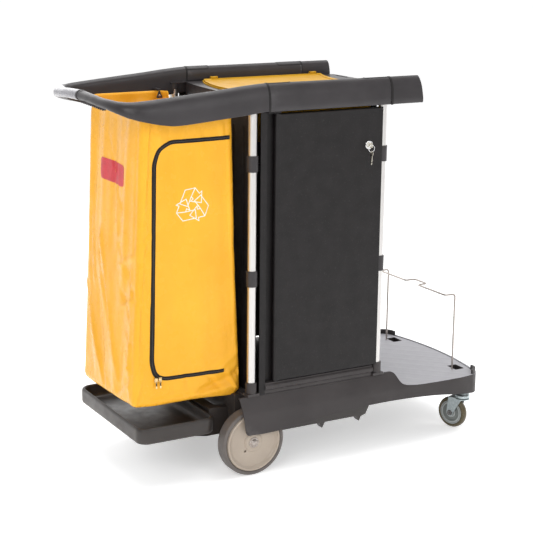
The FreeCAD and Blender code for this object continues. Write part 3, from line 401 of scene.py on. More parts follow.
def prism(outline, direction):
    """Closed form from a planar outline and the vector it is pushed along."""
    n = len(outline)
    verts = [Vector(p) for p in outline] + [Vector(p) + Vector(direction) for p in outline]
    faces = [list(range(n)), list(range(2 * n - 1, n - 1, -1))]
    faces += [(i, (i + 1) % n, n + (i + 1) % n, n + i) for i in range(n)]
    return verts, faces


def block(low, high, bevel=0.001, segments=2, turn=None):
    """Box between two corners with rounded edges, turned by a matrix about its middle if one is given."""
    low, high = Vector(low), Vector(high)
    bm = bmesh.new()
    bmesh.ops.create_cube(bm, size=1)
    size, centre = high - low, (low + high) / 2
    for v in bm.verts:
        v.co = Vector((v.co.x * size.x, v.co.y * size.y, v.co.z * size.z))
    bmesh.ops.bevel(bm, geom=bm.edges, offset=bevel, segments=segments, affect="EDGES", profile=0.5)
    verts = [(turn @ v.co if turn else v.co) + centre for v in bm.verts]
    bm.verts.index_update()
    faces = [[v.index for v in f.verts] for f in bm.faces]
    bm.free()
    return verts, faces


def round_loop(path, radius, sides):
    """Thin round bar along a closed path."""
    n = len(path)
    tangents = [(path[(i + 1) % n] - path[i - 1]).normalized() for i in range(n)]
    side = tangents[0].orthogonal().normalized()
    verts = []
    for p, t in zip(path, tangents):
        side = (side - t * side.dot(t)).normalized()
        other = t.cross(side)
        for k in range(sides):
            a = 2 * math.pi * k / sides
            verts.append(p + (side * math.cos(a) + other * math.sin(a)) * radius)
    return verts, grid_faces(n, sides, True, True)


def between(p, q, r, s, f):
    """Catmull-Rom value a share f of the way from q to r."""
    return q + 0.5 * f * (r - p + f * (2 * p - 5 * q + 4 * r - s + f * (3 * q - p - 3 * r + s)))


def distances(line):
    """How far along a line of 2-D points each of them is."""
    return np.concatenate([[0], np.cumsum(np.hypot(*np.diff(line, axis=0).T))])


def resampled(line, at):
    """Points of a line at the given distances along it."""
    along = distances(line)
    return np.column_stack([np.interp(at, along, line[:, k]) for k in (0, 1)])


def stroke(points, half_width, profile, closed, place):
    """Raised strip on a surface along a line; profile holds (share across, height), or gives it by index."""
    points = np.array(points, float)
    n = len(points)
    verts = []
    for i, p in enumerate(points):
        before = points[i - 1] if closed or i else p
        after = points[(i + 1) % n] if closed or i < n - 1 else p
        tangent = after - before
        tangent /= np.linalg.norm(tangent)
        across = np.array([-tangent[1], tangent[0]])
        stretch = 1.0
        if closed or 0 < i < n - 1:
            first, second = p - before, after - p
            cosine = float(first @ second / (np.linalg.norm(first) * np.linalg.norm(second)))
            stretch = 1 / max(0.5, math.cos(math.acos(max(-1.0, min(1.0, cosine))) / 2))
        for share, height in profile(i) if callable(profile) else profile:
            q = p + across * half_width * share * stretch
            hit, normal = place(q[0], q[1])
            verts.append(hit + normal * height)
    cols = len(verts) // n
    return verts, grid_faces(n, cols, True, True) if closed else capped(n, cols)


def smooth_cad(node, bevel):
    """Rounds the edges of a CAD piece for the look only, with modifiers."""
    thing = NODES[node]
    mesh = thing.data
    if "custom_normal" in mesh.attributes:
        mesh.attributes.remove(mesh.attributes["custom_normal"])
    mesh.polygons.foreach_set("use_smooth", [True] * len(mesh.polygons))
    weld = thing.modifiers.new("weld", "WELD")
    weld.merge_threshold = 1e-5
    if bevel:
        rounding = thing.modifiers.new("rounding", "BEVEL")
        rounding.width = bevel
        rounding.segments = 2
        rounding.limit_method = "ANGLE"
        rounding.angle_limit = math.radians(35)
    normals = thing.modifiers.new("normals", "WEIGHTED_NORMAL")
    normals.keep_sharp = True


# ---- camera, light and floor ----
CAMERA_AT = Vector((-2.13294, -3.67773, 1.58881))
CAMERA_LOOK = Vector((-0.032, 0.0, 0.5561))
CAMERA_ROLL = math.radians(0.55)
CAMERA_LENS = 95.63
LIGHTS_LOOK = Vector((0, 0, 0.6))
BACKDROP_TOWARDS = (0.495, 0.868, 0.0)
FLOOR_REACH = 60.0

scene = bpy.context.scene
camera_data = bpy.data.cameras.new("camera")
camera_data.lens = CAMERA_LENS
camera_data.sensor_width = 36
camera = bpy.data.objects.new("camera", camera_data)
scene.collection.objects.link(camera)
camera.rotation_euler = ((CAMERA_LOOK - CAMERA_AT).to_track_quat("-Z", "Y").to_matrix()
                         @ Matrix.Rotation(CAMERA_ROLL, 3, "Z")).to_euler()
camera.location = CAMERA_AT
scene.camera = camera


def soft_light(name, at, size, power):
    light = bpy.data.lights.new(name, "AREA")
    light.shape = "RECTANGLE"
    light.size, light.size_y = size
    light.energy = power
    obj = bpy.data.objects.new(name, light)
    scene.collection.objects.link(obj)
    obj.location = at
    obj.rotation_euler = (LIGHTS_LOOK - Vector(at)).to_track_quat("-Z", "Y").to_euler()


for light in (("key", (-3.2, -2.6, 2.6), (2.4, 2.4), 72), ("front", (0.6, -4.2, 2.4), (2.6, 2.0), 46),
              ("top", (0.2, 0.2, 3.6), (3.0, 2.4), 74), ("right", (3.4, -0.6, 1.8), (1.6, 2.2), 22),
              ("back", (0.4, 3.6, 2.2), (3.0, 2.0), 34)):
    soft_light(*light)

# a white studio backdrop behind the cart that falls off to dim walls on the viewer's side
world = bpy.data.worlds.new("world")
world.use_nodes = True
sky = world.node_tree
backdrop = sky.nodes["Background"]
backdrop.inputs["Color"].default_value = (1.0, 1.0, 1.0, 1)
sky_direction = feed(sky, "TexCoord", "Generated", {})
sky_facing = feed(sky, "VectorMath", "Value", {0: sky_direction, 1: BACKDROP_TOWARDS},
                  operation="DOT_PRODUCT")
sky_level = feed(sky, "MapRange", "Result", {"Value": sky_facing, "From Min": -0.35, "From Max": 0.5,
                                             "To Min": 0.30, "To Max": 1.05})
sky.links.new(sky_level, backdrop.inputs["Strength"])
scene.world = world
scene.view_settings.view_transform = "Standard"

floor_mesh = bpy.data.meshes.new("floor")
floor_corners = [(x * FLOOR_REACH, y * FLOOR_REACH, 0) for x, y in ((-1, -1), (1, -1), (1, 1), (-1, 1))]
floor_mesh.from_pydata(floor_corners, [], [(0, 1, 2, 3)])
floor = bpy.data.objects.new("floor", floor_mesh)
scene.collection.objects.link(floor)
floor_finish = Surface("floor_pale", rough=0.9, specular=0.2)
floor_finish.base((0.90, 0.90, 0.90), (0.93, 0.93, 0.93), floor_finish.noise(0.6, 2))
floor_finish.shader.inputs["Emission Color"].default_value = (1, 1, 1, 1)
floor_finish.shader.inputs["Emission Strength"].default_value = 0.42
floor_mesh.materials.append(floor_finish.material)
floor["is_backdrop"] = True


# ---- hoop, push bar and rails ----
# across the width (0 outer, 1 inner), height (0 bottom, 1 top), angle of the same point on a round bar
RAIL_SHAPE = ((0.06, 0.0, -130), (0.0, 0.10, -155), (0.0, 0.35, -178), (0.07, 0.63, 158),
              (0.28, 0.88, 125), (0.55, 1.0, 88), (0.80, 0.97, 60), (0.97, 0.84, 32),
              (1.0, 0.50, 2), (1.0, 0.12, -32), (0.94, 0.0, -55), (0.5, 0.0, -92))
# distance along the hoop from the rail joint, then bottom, top, width and roundness, in millimetres
HOOP_KEYS = ((0, 1075, 1152, 38, 0.0), (75, 1068, 1147, 38, 0.0), (145, 1062, 1140, 38, 0.0),
             (215, 1056, 1134, 38, 0.0), (285, 1052, 1128, 38, 0.0), (330, 1057, 1124, 38, 0.0),
             (385, 1067, 1120, 38, 0.15), (428, 1077, 1118, 37, 0.35), (450, 1083, 1118, 36, 0.5),
             (476, 1088, 1118, 35, 0.7), (506, 1092, 1120, 33, 0.9), (547, 1094, 1121, 31, 1.0),
             (591, 1097, 1124, 30, 1.0), (690, 1099, 1128, 30, 1.0))
HOOP_STRAIGHT_X = -440.0
HOOP_POWER = 4.6
HOOP_START_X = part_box("hoop_near")[1].x * 1000
HALF_LENGTH = -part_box("hoop_near")[0].x * 1000
HALF_WIDTH = -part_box("hoop_near")[0].y * 1000
COLLAR_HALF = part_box("push_bar_collar")[1].y * 1000
HOOP_STATIONS = 110
SECTION_STEPS = 5
# points of the section over its top, outer bottom edge to inner, and those that close it underneath
OVER_POINTS = 10 * SECTION_STEPS + 1
UNDER_POINTS = 31
WALL = 4.0
# the hood's open underside closes between these distances along the hoop
OPEN_UNTIL, CLOSED_FROM = 340, 400
# the near half's ribs, and the pale sleeve painted as a reflection on the far half, start at these distances
# along the hoop
RIBS_FROM, PAINTED_REFLECTION_FROM = 520, 455
# how far the two skins of the pale sleeve, a painted reflection, lie outside the bar
REFLECTION_SKINS = (0.7, -0.6)


def hoop_values(distance):
    """Bottom, top, width and roundness of the section at a distance from the rail joint."""
    last = len(HOOP_KEYS) - 1
    distance = min(distance, HOOP_KEYS[last][0] - 0.1)
    i = max(k for k in range(last) if HOOP_KEYS[k][0] <= distance)
    p, q, r, s = (np.array(HOOP_KEYS[max(0, min(last, i + k))][1:], float) for k in (-1, 0, 1, 2))
    f = (distance - HOOP_KEYS[i][0]) / (HOOP_KEYS[i + 1][0] - HOOP_KEYS[i][0])
    row = between(p, q, r, s, f)
    row[3] = min(1.0, max(0.0, row[3]))
    return row


def hoop_plan(side):
    """Outer line of one half of the hoop in plan, from the rail joint to the collar, evenly spaced."""
    points = [(HOOP_START_X, side * HALF_WIDTH)]
    for t in np.linspace(math.pi / 2, 0, 2401):
        x = HOOP_STRAIGHT_X - (HALF_LENGTH + HOOP_STRAIGHT_X) * max(math.cos(t), 0) ** (2 / HOOP_POWER)
        y = HALF_WIDTH * max(math.sin(t), 0) ** (2 / HOOP_POWER)
        if y > COLLAR_HALF:
            points.append((x, side * y))
    points.append((-HALF_LENGTH, side * COLLAR_HALF))
    even = np.linspace(0, distances(points)[-1], HOOP_STATIONS)
    return even, resampled(np.array(points), even)


def rail_section(bottom, top, width, roundness):
    """(across, height) points round the section, starting at the outer bottom edge and going over the top."""
    control = []
    for u, v, angle in RAIL_SHAPE:
        a = math.radians(angle)
        round_bar = np.array([0.5 + 0.5 * math.cos(a), 0.5 + 0.5 * math.sin(a)])
        control.append(np.array([u, v]) + (round_bar - (u, v)) * roundness)
    points = []
    for i in range(len(control)):
        near = [control[(i + k) % len(control)] for k in (-1, 0, 1, 2)]
        points += [between(*near, k / SECTION_STEPS) for k in range(SECTION_STEPS)]
    return np.array(points) * (width, top - bottom) + (0, bottom)


def hoop_frame(side):
    """Distance, foot, inward direction and section values at every station of one half."""
    along, plan = hoop_plan(side)
    tangents = np.gradient(plan, axis=0)
    rows = []
    for distance, foot, t in zip(along, plan, tangents):
        inward = np.array([-t[1], t[0]]) / np.linalg.norm(t)
        if inward @ (np.array([-300.0, 0.0]) - foot) < 0:
            inward = -inward
        rows.append((distance, foot, inward, hoop_values(distance)))
    rows[-1] = (*rows[-1][:2], np.array([1.0, 0.0]), rows[-1][3])
    return rows


def at_station(row, across, height):
    """Point in metres at a distance inwards and a height, at one station of the hoop."""
    x, y = row[1] + row[2] * across
    return x / 1000, y / 1000, height / 1000


def hoop_half(side):
    """Half of the hoop: a hood open underneath along the side, closing to a round push bar."""
    verts = []
    for row in hoop_frame(side):
        bottom, top, width, roundness = row[3]
        outer = rail_section(bottom, top, width, roundness)
        under = np.vstack([outer[OVER_POINTS - 1:], outer[:1]])
        inner = rail_section(bottom - 30, top - WALL, width - 2 * WALL, roundness)[:OVER_POINTS] + (WALL, 0)
        inner[:, 1] = np.maximum(inner[:, 1], bottom)
        lower = []
        for line in (under, inner[::-1]):
            lower.append(resampled(line, np.linspace(0, distances(line)[-1], UNDER_POINTS + 2)[1:-1]))
        hollow = min(1.0, max(0.0, (CLOSED_FROM - row[0]) / (CLOSED_FROM - OPEN_UNTIL)))
        section = np.vstack([outer[:OVER_POINTS], lower[0] * (1 - hollow) + lower[1] * hollow])
        verts += [at_station(row, across, height) for across, height in section]
    return verts, capped(HOOP_STATIONS, OVER_POINTS + UNDER_POINTS)


for side_name, side in SIDES:
    made = piece("hoop_shell_" + side_name, *hoop_half(side), "cart", "frame_plastic", 50)
    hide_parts("hoop_" + side_name)

# ribs under the outer edge of the near half of the push bar
ribs = Parts()
rib_feet = [Vector(at_station(row, row[3][2] * 0.36, row[3][0] - 1.5)) for row in hoop_frame(-1)
            if row[0] > RIBS_FROM]
for p, q in zip(rib_feet[::2], rib_feet[1::2]):
    along = (q - p).normalized()
    across = Vector((along.y, -along.x, 0)) * 0.006
    start, end = p - Vector((0, 0, 0.002)), p + along * 0.0032 - Vector((0, 0, 0.002))
    ribs.add(*prism([start - across, end - across, end + across, start + across], (0, 0, 0.0064)))
ribs.piece("push_bar_ribs", "cart", "frame_plastic", 30)


def reflection_sleeve():
    """Pale sleeve over the far half of the push bar, a painted reflection of the backdrop: an outer skin and
    an inner one inside the bar.
    """
    rows = [row for row in hoop_frame(1) if row[0] > PAINTED_REFLECTION_FROM]
    verts = []
    for grow in REFLECTION_SKINS:
        for row in rows:
            bottom, top, width, roundness = row[3]
            section = rail_section(bottom - grow, top + grow, width + 2 * grow, roundness)
            verts += [at_station(row, across - grow, height) for across, height in section]
    n = len(rows)
    cols = len(verts) // (2 * n)
    ends = [list(range(cols)), list(range((n - 1) * cols, n * cols))]
    return verts, doubled(grid_faces(n, cols, False, True), n * cols, ends)


# painted reflection: pale grey-lavender over the far half of the bar, where the backdrop's glare falls
painted_reflection_finish = moulded("painted_reflection_grey", (0.20, 0.195, 0.215), (0.27, 0.265, 0.285), 0.26, wear_and_sheen=(0.5, 0.5, 0.5))
piece("push_bar_painted_reflection", *reflection_sleeve(), "cart", painted_reflection_finish, 50, slot="frame_plastic")

# the rails' joints: a dark seam round each and the outline of the tongue that locks it, on the inner slope
RAIL_JOINTS_X = (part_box("rail_near")[0].x - 0.0015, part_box("rail_near")[1].x + 0.0015)
RAIL_Z = [corner.z * 1000 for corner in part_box("rail_cap_near")]
RAIL_LINE = rail_section(*RAIL_Z, 38, 0.0)
RAIL_ALONG = distances(RAIL_LINE)
RAIL_CREST = RAIL_ALONG[int(np.argmax(RAIL_LINE[:, 1]))]
SEAM_HALF = 0.0033
GROOVE = ((-1, -0.0005), (-1, 0.0003), (-0.5, 0.0007), (0.5, 0.0007), (1, 0.0003), (1, -0.0005))
seam_finish = finish_tyre("seam_black", (0.006, 0.005, 0.005), (0.012, 0.010, 0.010), 0.5, 0.3)


def on_rail(side):
    """Places a point given its X and its distance from the crest towards the inside, in metres."""
    def place(x, past_crest):
        def spot(distance):
            across, height = resampled(RAIL_LINE, [distance])[0]
            return Vector((x, side * (HALF_WIDTH - across) / 1000, height / 1000))
        here = RAIL_CREST + past_crest * 1000
        slope = (spot(here + 0.5) - spot(here - 0.5)).normalized()
        normal = Vector((0, -side * slope.z, side * slope.y))
        return spot(here), normal if normal.z > 0 else -normal
    return place


def seam_outline():
    """(across, height) outline of the band over a joint, in metres: all of the section but its underside."""
    over = RAIL_LINE[:OVER_POINTS]
    away = over - RAIL_LINE.mean(axis=0)
    away /= np.linalg.norm(away, axis=1)[:, None]
    return np.vstack([over + away * 0.7, (over - away * 0.8)[::-1]]) / 1000


seams = Parts()
for side_name, side in SIDES:
    for joint_x, reach in zip(RAIL_JOINTS_X, (0.075, -0.088)):
        band = [Vector((joint_x - SEAM_HALF, side * (HALF_WIDTH / 1000 - a), h)) for a, h in seam_outline()]
        seams.add(*prism(band, (2 * SEAM_HALF, 0, 0)))
        start, end = joint_x + math.copysign(0.001, reach), joint_x + reach
        tongue = [Vector((start, -0.003, 0)), Vector((end, -0.003, 0)),
                  Vector((end, 0.016, 0)), Vector((start, 0.016, 0))]
        line = [(p.x, p.y) for p in rounded(tongue, 0.006, 5, closed=False)]
        seams.add(*stroke(line, 0.0021, GROOVE, False, on_rail(side)))
seams.piece("rail_seams", "cart", seam_finish, 35, slot="frame_plastic")

# ---- tray under the bag ----
# inset from the CAD tray's box, height over its foot or (from the rim) under its top, corner radius
TRAY_OUTSIDE = ((0.010, 0.0, 0.024), (0.004, 0.001, 0.030), (0.001, 0.004, 0.033), (0.0, 0.010, 0.034))
TRAY_RIM = ((0.0, 0.010, 0.034), (0.0004, 0.005, 0.034), (0.0018, 0.0018, 0.0335), (0.0045, 0.0, 0.032),
            (0.0075, 0.0012, 0.030), (0.0095, 0.005, 0.0285), (0.0110, 0.014, 0.027))
TRAY_INSIDE = ((0.0145, 0.022, 0.026), (0.019, 0.013, 0.026), (0.028, 0.0095, 0.024), (0.050, 0.0085, 0.020),
               (0.100, 0.0080, 0.010))


def rounded_plan(low, high, inset, radius, z, steps=8):
    """Rounded rectangle at a height, as a ring of points with evenly split corners."""
    x0, x1 = low.x + inset + radius, high.x - inset - radius
    y0, y1 = low.y + inset + radius, high.y - inset - radius
    ring = []
    for x, y, start in ((x1, y0, -90), (x1, y1, 0), (x0, y1, 90), (x0, y0, 180)):
        for k in range(steps + 1):
            a = math.radians(start + 90 * k / steps)
            ring.append((x + radius * math.cos(a), y + radius * math.sin(a), z))
    return ring


def tray_shell():
    """Thick-rimmed tray with a rolled edge, sloping inner walls and a slightly dished floor."""
    low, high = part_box("bag_tray")
    profile = [(inset, low.z + up, radius) for inset, up, radius in TRAY_OUTSIDE]
    profile += [(inset, high.z - down, radius) for inset, down, radius in TRAY_RIM]
    profile += [(inset, low.z + up, radius) for inset, up, radius in TRAY_INSIDE]
    verts = []
    for inset, z, radius in profile:
        verts += rounded_plan(low, high, inset, radius, z)
    return verts, capped(len(profile), len(verts) // len(profile))


tray = piece("tray_shell", *tray_shell(), "cart", "tray_plastic", 50)
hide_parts("bag_tray")

# ---- wheel trims ----
# (radius, height) outlines in millimetres: rings over a disc's face, and nuts over the fork's or disc's
WHEEL_BOSS = ((20.0, -6.8), (28.5, -6.8), (28.0, -3.2), (26.5, -1.6), (21.5, -1.6), (20.0, -2.6))
WHEEL_LIP = ((79.5, -3.0), (86.8, -3.0), (86.8, 0.8), (85.8, 1.8), (81.0, 1.8), (80.0, 0.6))
AXLE_CAP = ((0.2, -0.6), (15.8, -0.6), (15.8, 0.8), (14.6, 1.6), (11.0, 1.9), (9.6, 4.6), (7.6, 6.4),
            (3.6, 7.4), (0.2, 7.6))
CASTER_RINGS = (((30.0, 9.6), (34.5, 9.6), (34.2, 11.9), (33.4, 12.4), (31.0, 12.4), (30.3, 11.8)),
                ((12.5, 9.0), (16.5, 8.4), (16.2, 11.2), (15.0, 12.6), (12.8, 12.8)),
                ((36.2, 10.6), (38.6, 10.4), (38.6, 11.6), (37.6, 12.2), (36.4, 11.8)))
CASTER_BOLT = ((0.2, -17.9), (3.98, -17.9), (3.98, 17.9), (0.2, 17.9))
BOLT_END = ((0.2, 4.8), (4.2, 4.8), (4.2, 6.6), (3.6, 7.2), (0.2, 7.2))
WASHER = ((4.0, -0.4), (9.6, -0.4), (9.6, 0.6), (9.0, 1.1), (4.0, 1.1))

for side_name, side in SIDES:
    low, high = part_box("wheel_disc_" + side_name)
    hub = (low + high) / 2
    hub.y = high.y if side > 0 else low.y
    trim = Parts()
    for profile in (WHEEL_BOSS, WHEEL_LIP):
        trim.add(*lathe(profile, hub, (0, side, 0), 128, 0.5, 2))
    trim.piece("wheel_trim_" + side_name, "wheel_" + side_name, "wheel_beige", 35)
    cap = Parts()
    cap.add(*lathe(AXLE_CAP, hub, (0, side, 0), 72, 0.4, 2))
    for k in range(6):
        a = math.radians(60 * k + 15)
        at = hub + Vector((math.cos(a) * 0.0128, side * 0.0022, math.sin(a) * 0.0128))
        half = Vector((0.0022, 0.0008, 0.0016))
        cap.add(*block(at - half, at + half, 0.0004, 2, Matrix.Rotation(-a, 3, "Y")))
    made = cap.piece("axle_nut_" + side_name, "cart", "wire_steel", 35)
    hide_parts("axle_cap_" + side_name)

# ---- caster trims ----
ring_finish = moulded("caster_ring_pale", (0.30, 0.315, 0.31), (0.38, 0.40, 0.39), 0.36)
nut_steel = finish_metal("nut_steel", (0.15, 0.145, 0.14), (0.24, 0.235, 0.23), 0.26, 200)
for side_name, side in SIDES:
    roll = JOINTS["caster_roll_" + side_name]
    axle = Vector(roll["axis"]).normalized()
    side_way = axle.orthogonal().normalized()
    other_way = axle.cross(side_way)
    centre = Vector(roll["pos_m"])
    rings = Parts()
    nuts = Parts()
    nuts.add(*lathe(CASTER_BOLT, centre, axle, 32))
    for out in (-axle, axle):
        for profile in CASTER_RINGS:
            rings.add(*lathe(profile, centre, out, 80, 0.3, 2))
        face = centre + out * 0.0178
        turns = [math.radians(60 * k) for k in range(6)]
        hexagon = [face + (side_way * math.cos(a) + other_way * math.sin(a)) * 0.0082 for a in turns]
        nuts.add(*prism(hexagon, out * 0.0052))
        nuts.add(*lathe(BOLT_END, face, out, 32, 0.3, 2))
        nuts.add(*lathe(WASHER, face, out, 40, 0.3, 2))
    rings.piece("caster_rings_" + side_name, "caster_roll_" + side_name, ring_finish, 35,
                slot="caster_hub_plastic")
    made = nuts.piece("caster_nuts_" + side_name, "caster_swivel_" + side_name, nut_steel, 30,
                      slot="caster_zinc")
    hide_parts("caster_bolt_" + side_name)

# ---- waste bag ----
# height, X of the near left, near right, far left and far right corners, Y of the near and far faces,
# corner radius, all in millimetres
BAG_ROWS = (
    (233, -565, -246, -551, -247, -190, 188, 12),
    (240, -573, -240, -560, -242, -197, 194, 13),
    (252, -576, -229, -563, -236, -200, 197, 14),
    (330, -574, -234, -556, -240, -203, 200, 14),
    (531, -568, -246, -543, -250, -209, 206, 16),
    (825, -558, -259, -526, -264, -217, 215, 20),
    (1010, -551, -264, -515, -270, -221, 220, 24),
    (1087, -547, -267, -510, -272, -223, 222, 28),
)
BAG_SIDE_STEPS = (68, 30, 44, 48)
BAG_CORNER_STEPS = 6
BAG_HEIGHT_STEPS = 120
# folds on each face: start and end as (share along the face, height), half width and how far the fold
# stands out, in millimetres; the share runs from left to right as seen from outside
BAG_FOLDS = {
    "near": (
        (0.045, 1060, 0.07, 760, 9, 4), (0.105, 1075, 0.1, 700, 10, -4), (0.14, 1080, 0.19, 1015, 8, 3.5),
        (0.24, 1082, 0.3, 1020, 10, -3), (0.46, 1080, 0.43, 1018, 9, 3),
        (0.62, 1082, 0.66, 1012, 10, -3.5), (0.8, 1084, 0.86, 1020, 9, 3.5),
        (0.96, 1084, 0.9, 1015, 8, -3), (0.02, 640, 0.12, 560, 8, 2.5), (0.06, 700, 0.11, 735, 6, 3),
        (0.05, 520, 0.085, 380, 10, -3), (0.07, 330, 0.01, 262, 9, 3.5), (0.33, 990, 0.36, 500, 30, -3),
        (0.64, 980, 0.61, 420, 36, 3), (0.88, 900, 0.9, 360, 24, -3), (0.975, 980, 0.985, 520, 8, 2.5),
        (0.66, 262, 0.99, 306, 13, -9), (0.56, 250, 0.94, 262, 9, 6), (0.76, 318, 0.995, 372, 12, 4),
        (0.72, 296, 0.8, 262, 7, -4), (0.9, 300, 0.96, 252, 8, 5), (0.2, 268, 0.44, 262, 8, -3.5),
        (0.3, 300, 0.36, 252, 9, 3), (0.48, 315, 0.52, 256, 10, -3), (0.03, 980, 0.05, 560, 5, 3),
        (0.085, 900, 0.06, 740, 5, -3),
    ),
    "right": (
        (0.25, 1050, 0.3, 500, 24, 4), (0.6, 1050, 0.55, 420, 28, -4), (0.85, 900, 0.8, 300, 20, 4),
        (0.1, 360, 0.25, 262, 12, 4),
    ),
    "far": (
        (0.1, 1050, 0.14, 600, 18, 4), (0.3, 1050, 0.27, 500, 26, -4), (0.5, 1060, 0.54, 420, 28, 4),
        (0.72, 1050, 0.7, 520, 24, -4), (0.9, 1000, 0.86, 360, 18, 4), (0.4, 330, 0.7, 262, 13, -5),
        (0.12, 340, 0.34, 262, 12, 4),
    ),
    "left": (
        (0.06, 1070, 0.08, 640, 13, 5), (0.17, 1060, 0.15, 760, 15, -5), (0.33, 1075, 0.36, 560, 22, 4),
        (0.56, 1050, 0.54, 700, 24, -4.5), (0.8, 1060, 0.76, 620, 18, 4.5),
        (0.93, 1060, 0.945, 700, 10, -3.5), (0.1, 560, 0.26, 330, 20, 5), (0.3, 520, 0.42, 280, 20, -5),
        (0.52, 560, 0.64, 300, 22, 5), (0.8, 600, 0.72, 300, 24, -5), (0.9, 420, 0.96, 262, 14, 4.5),
        (0.45, 300, 0.5, 250, 12, 3.5), (0.7, 820, 0.62, 640, 12, -2.5), (0.95, 330, 0.7, 262, 10, -4),
        (0.56, 1082, 0.575, 900, 4, 3.5), (0.575, 900, 0.64, 700, 6, 3), (0.64, 700, 0.98, 560, 7, -4),
        (0.7, 640, 0.97, 690, 6, 4.5), (0.76, 520, 0.96, 560, 5, 4.5), (0.74, 560, 0.9, 500, 5, -4.5),
        (0.06, 520, 0.42, 250, 9, 5), (0.3, 640, 0.56, 420, 7, -4), (0.34, 700, 0.7, 300, 8, 5),
        (0.9, 640, 0.93, 300, 5, 3.5), (0.82, 460, 0.93, 430, 5, -4), (0.86, 400, 0.96, 340, 5, 4),
        (0.13, 780, 0.2, 560, 7, 4), (0.42, 980, 0.7, 800, 6, -2.5),
    ),
}
BAG_FACES = ("near", "right", "far", "left")
HEM_DEPTH = 30.0
RIM_SLACK = 50.0
BASE_Z = 0.229
BASE_ROWS = 12
VINYL = 0.0014
# how far each face bows out, the height of its broad and its fine ripples and of the hem, in millimetres
BELLY, RIPPLE, FINE_RIPPLE, HEM_RISE = 5.0, 2.4, 0.9, 1.3


def fold_height(face, s, width, z):
    """How far the face stands out at a point, from its folds."""
    total = 0.0
    for s0, z0, s1, z1, half, rise in BAG_FOLDS[face]:
        across, up = (s - s0) * width, z - z0
        dx, dz = (s1 - s0) * width, z1 - z0
        length = math.hypot(dx, dz)
        f = (across * dx + up * dz) / length ** 2
        off = (across * dz - up * dx) / length
        past = max(-f, f - 1, 0.0) * length
        total += rise * math.exp(-(off / half) ** 2 - (past / (2.2 * half)) ** 2)
    return total


def bag_ring(z):
    """Points round the bag at a height, anticlockwise from near left: place, way out, face, share, width."""
    table = np.array(BAG_ROWS, float)
    near_left, near_right, far_left, far_right, near_y, far_y, radius = (
        float(np.interp(z, table[:, 0], table[:, k])) for k in range(1, 8))
    corners = [Vector((near_left, near_y, 0)), Vector((near_right, near_y, 0)),
               Vector((far_right, far_y, 0)), Vector((far_left, far_y, 0))]
    ways = [(corners[(k + 1) % 4] - corners[k]).normalized() for k in range(4)]
    outwards = [Vector((way.y, -way.x, 0)) for way in ways]
    points = []
    for k in range(4):
        start, end, outward = corners[k], corners[(k + 1) % 4], outwards[k]
        width = (end - start).length
        a, b = start + ways[k] * radius, end - ways[k] * radius
        for i in range(BAG_SIDE_STEPS[k]):
            f = i / BAG_SIDE_STEPS[k]
            share = (radius + (width - 2 * radius) * f) / width
            points.append((a + (b - a) * f, outward, BAG_FACES[k], share, width))
        centre = b - outward * radius
        for i in range(BAG_CORNER_STEPS):
            f = i / BAG_CORNER_STEPS
            normal = (outward * (1 - f) + outwards[(k + 1) % 4] * f).normalized()
            face, share = (BAG_FACES[k], 1.0) if f < 0.5 else (BAG_FACES[(k + 1) % 4], 0.0)
            points.append((centre + normal * radius, normal, face, share, width))
    return points


def hump(p, x, y, half_x, half_y):
    """Bell round a place in plan, 1 at its middle."""
    return math.exp(-((p.x - x) / half_x) ** 2 - ((p.y - y) / half_y) ** 2)


def bag_drop(p, face, s, t):
    """How far a point of the bag is raised: its foot sags and bulges, its cabinet side hangs slack."""
    hem = max(0.0, 1 - t * 12)
    droop = 2.0 * noise.noise(Vector((p.x / 70, p.y / 70, 3.3))) * hem
    droop += 8.0 * math.exp(-((p.x + 420) / 120) ** 2) * (p.y < 0) * hem
    droop += 9.0 * hump(p, -575, -200, 60, 110) * hem
    droop -= 9.0 * hump(p, -560, 190, 90, 170) * hem
    if face == "right":
        slack = math.sin(math.pi * min(1.0, max(0.0, (s - 0.02) / 0.96))) ** 0.35
        droop -= RIM_SLACK * slack * max(0.0, (t - 0.7) / 0.3) ** 2
    return droop


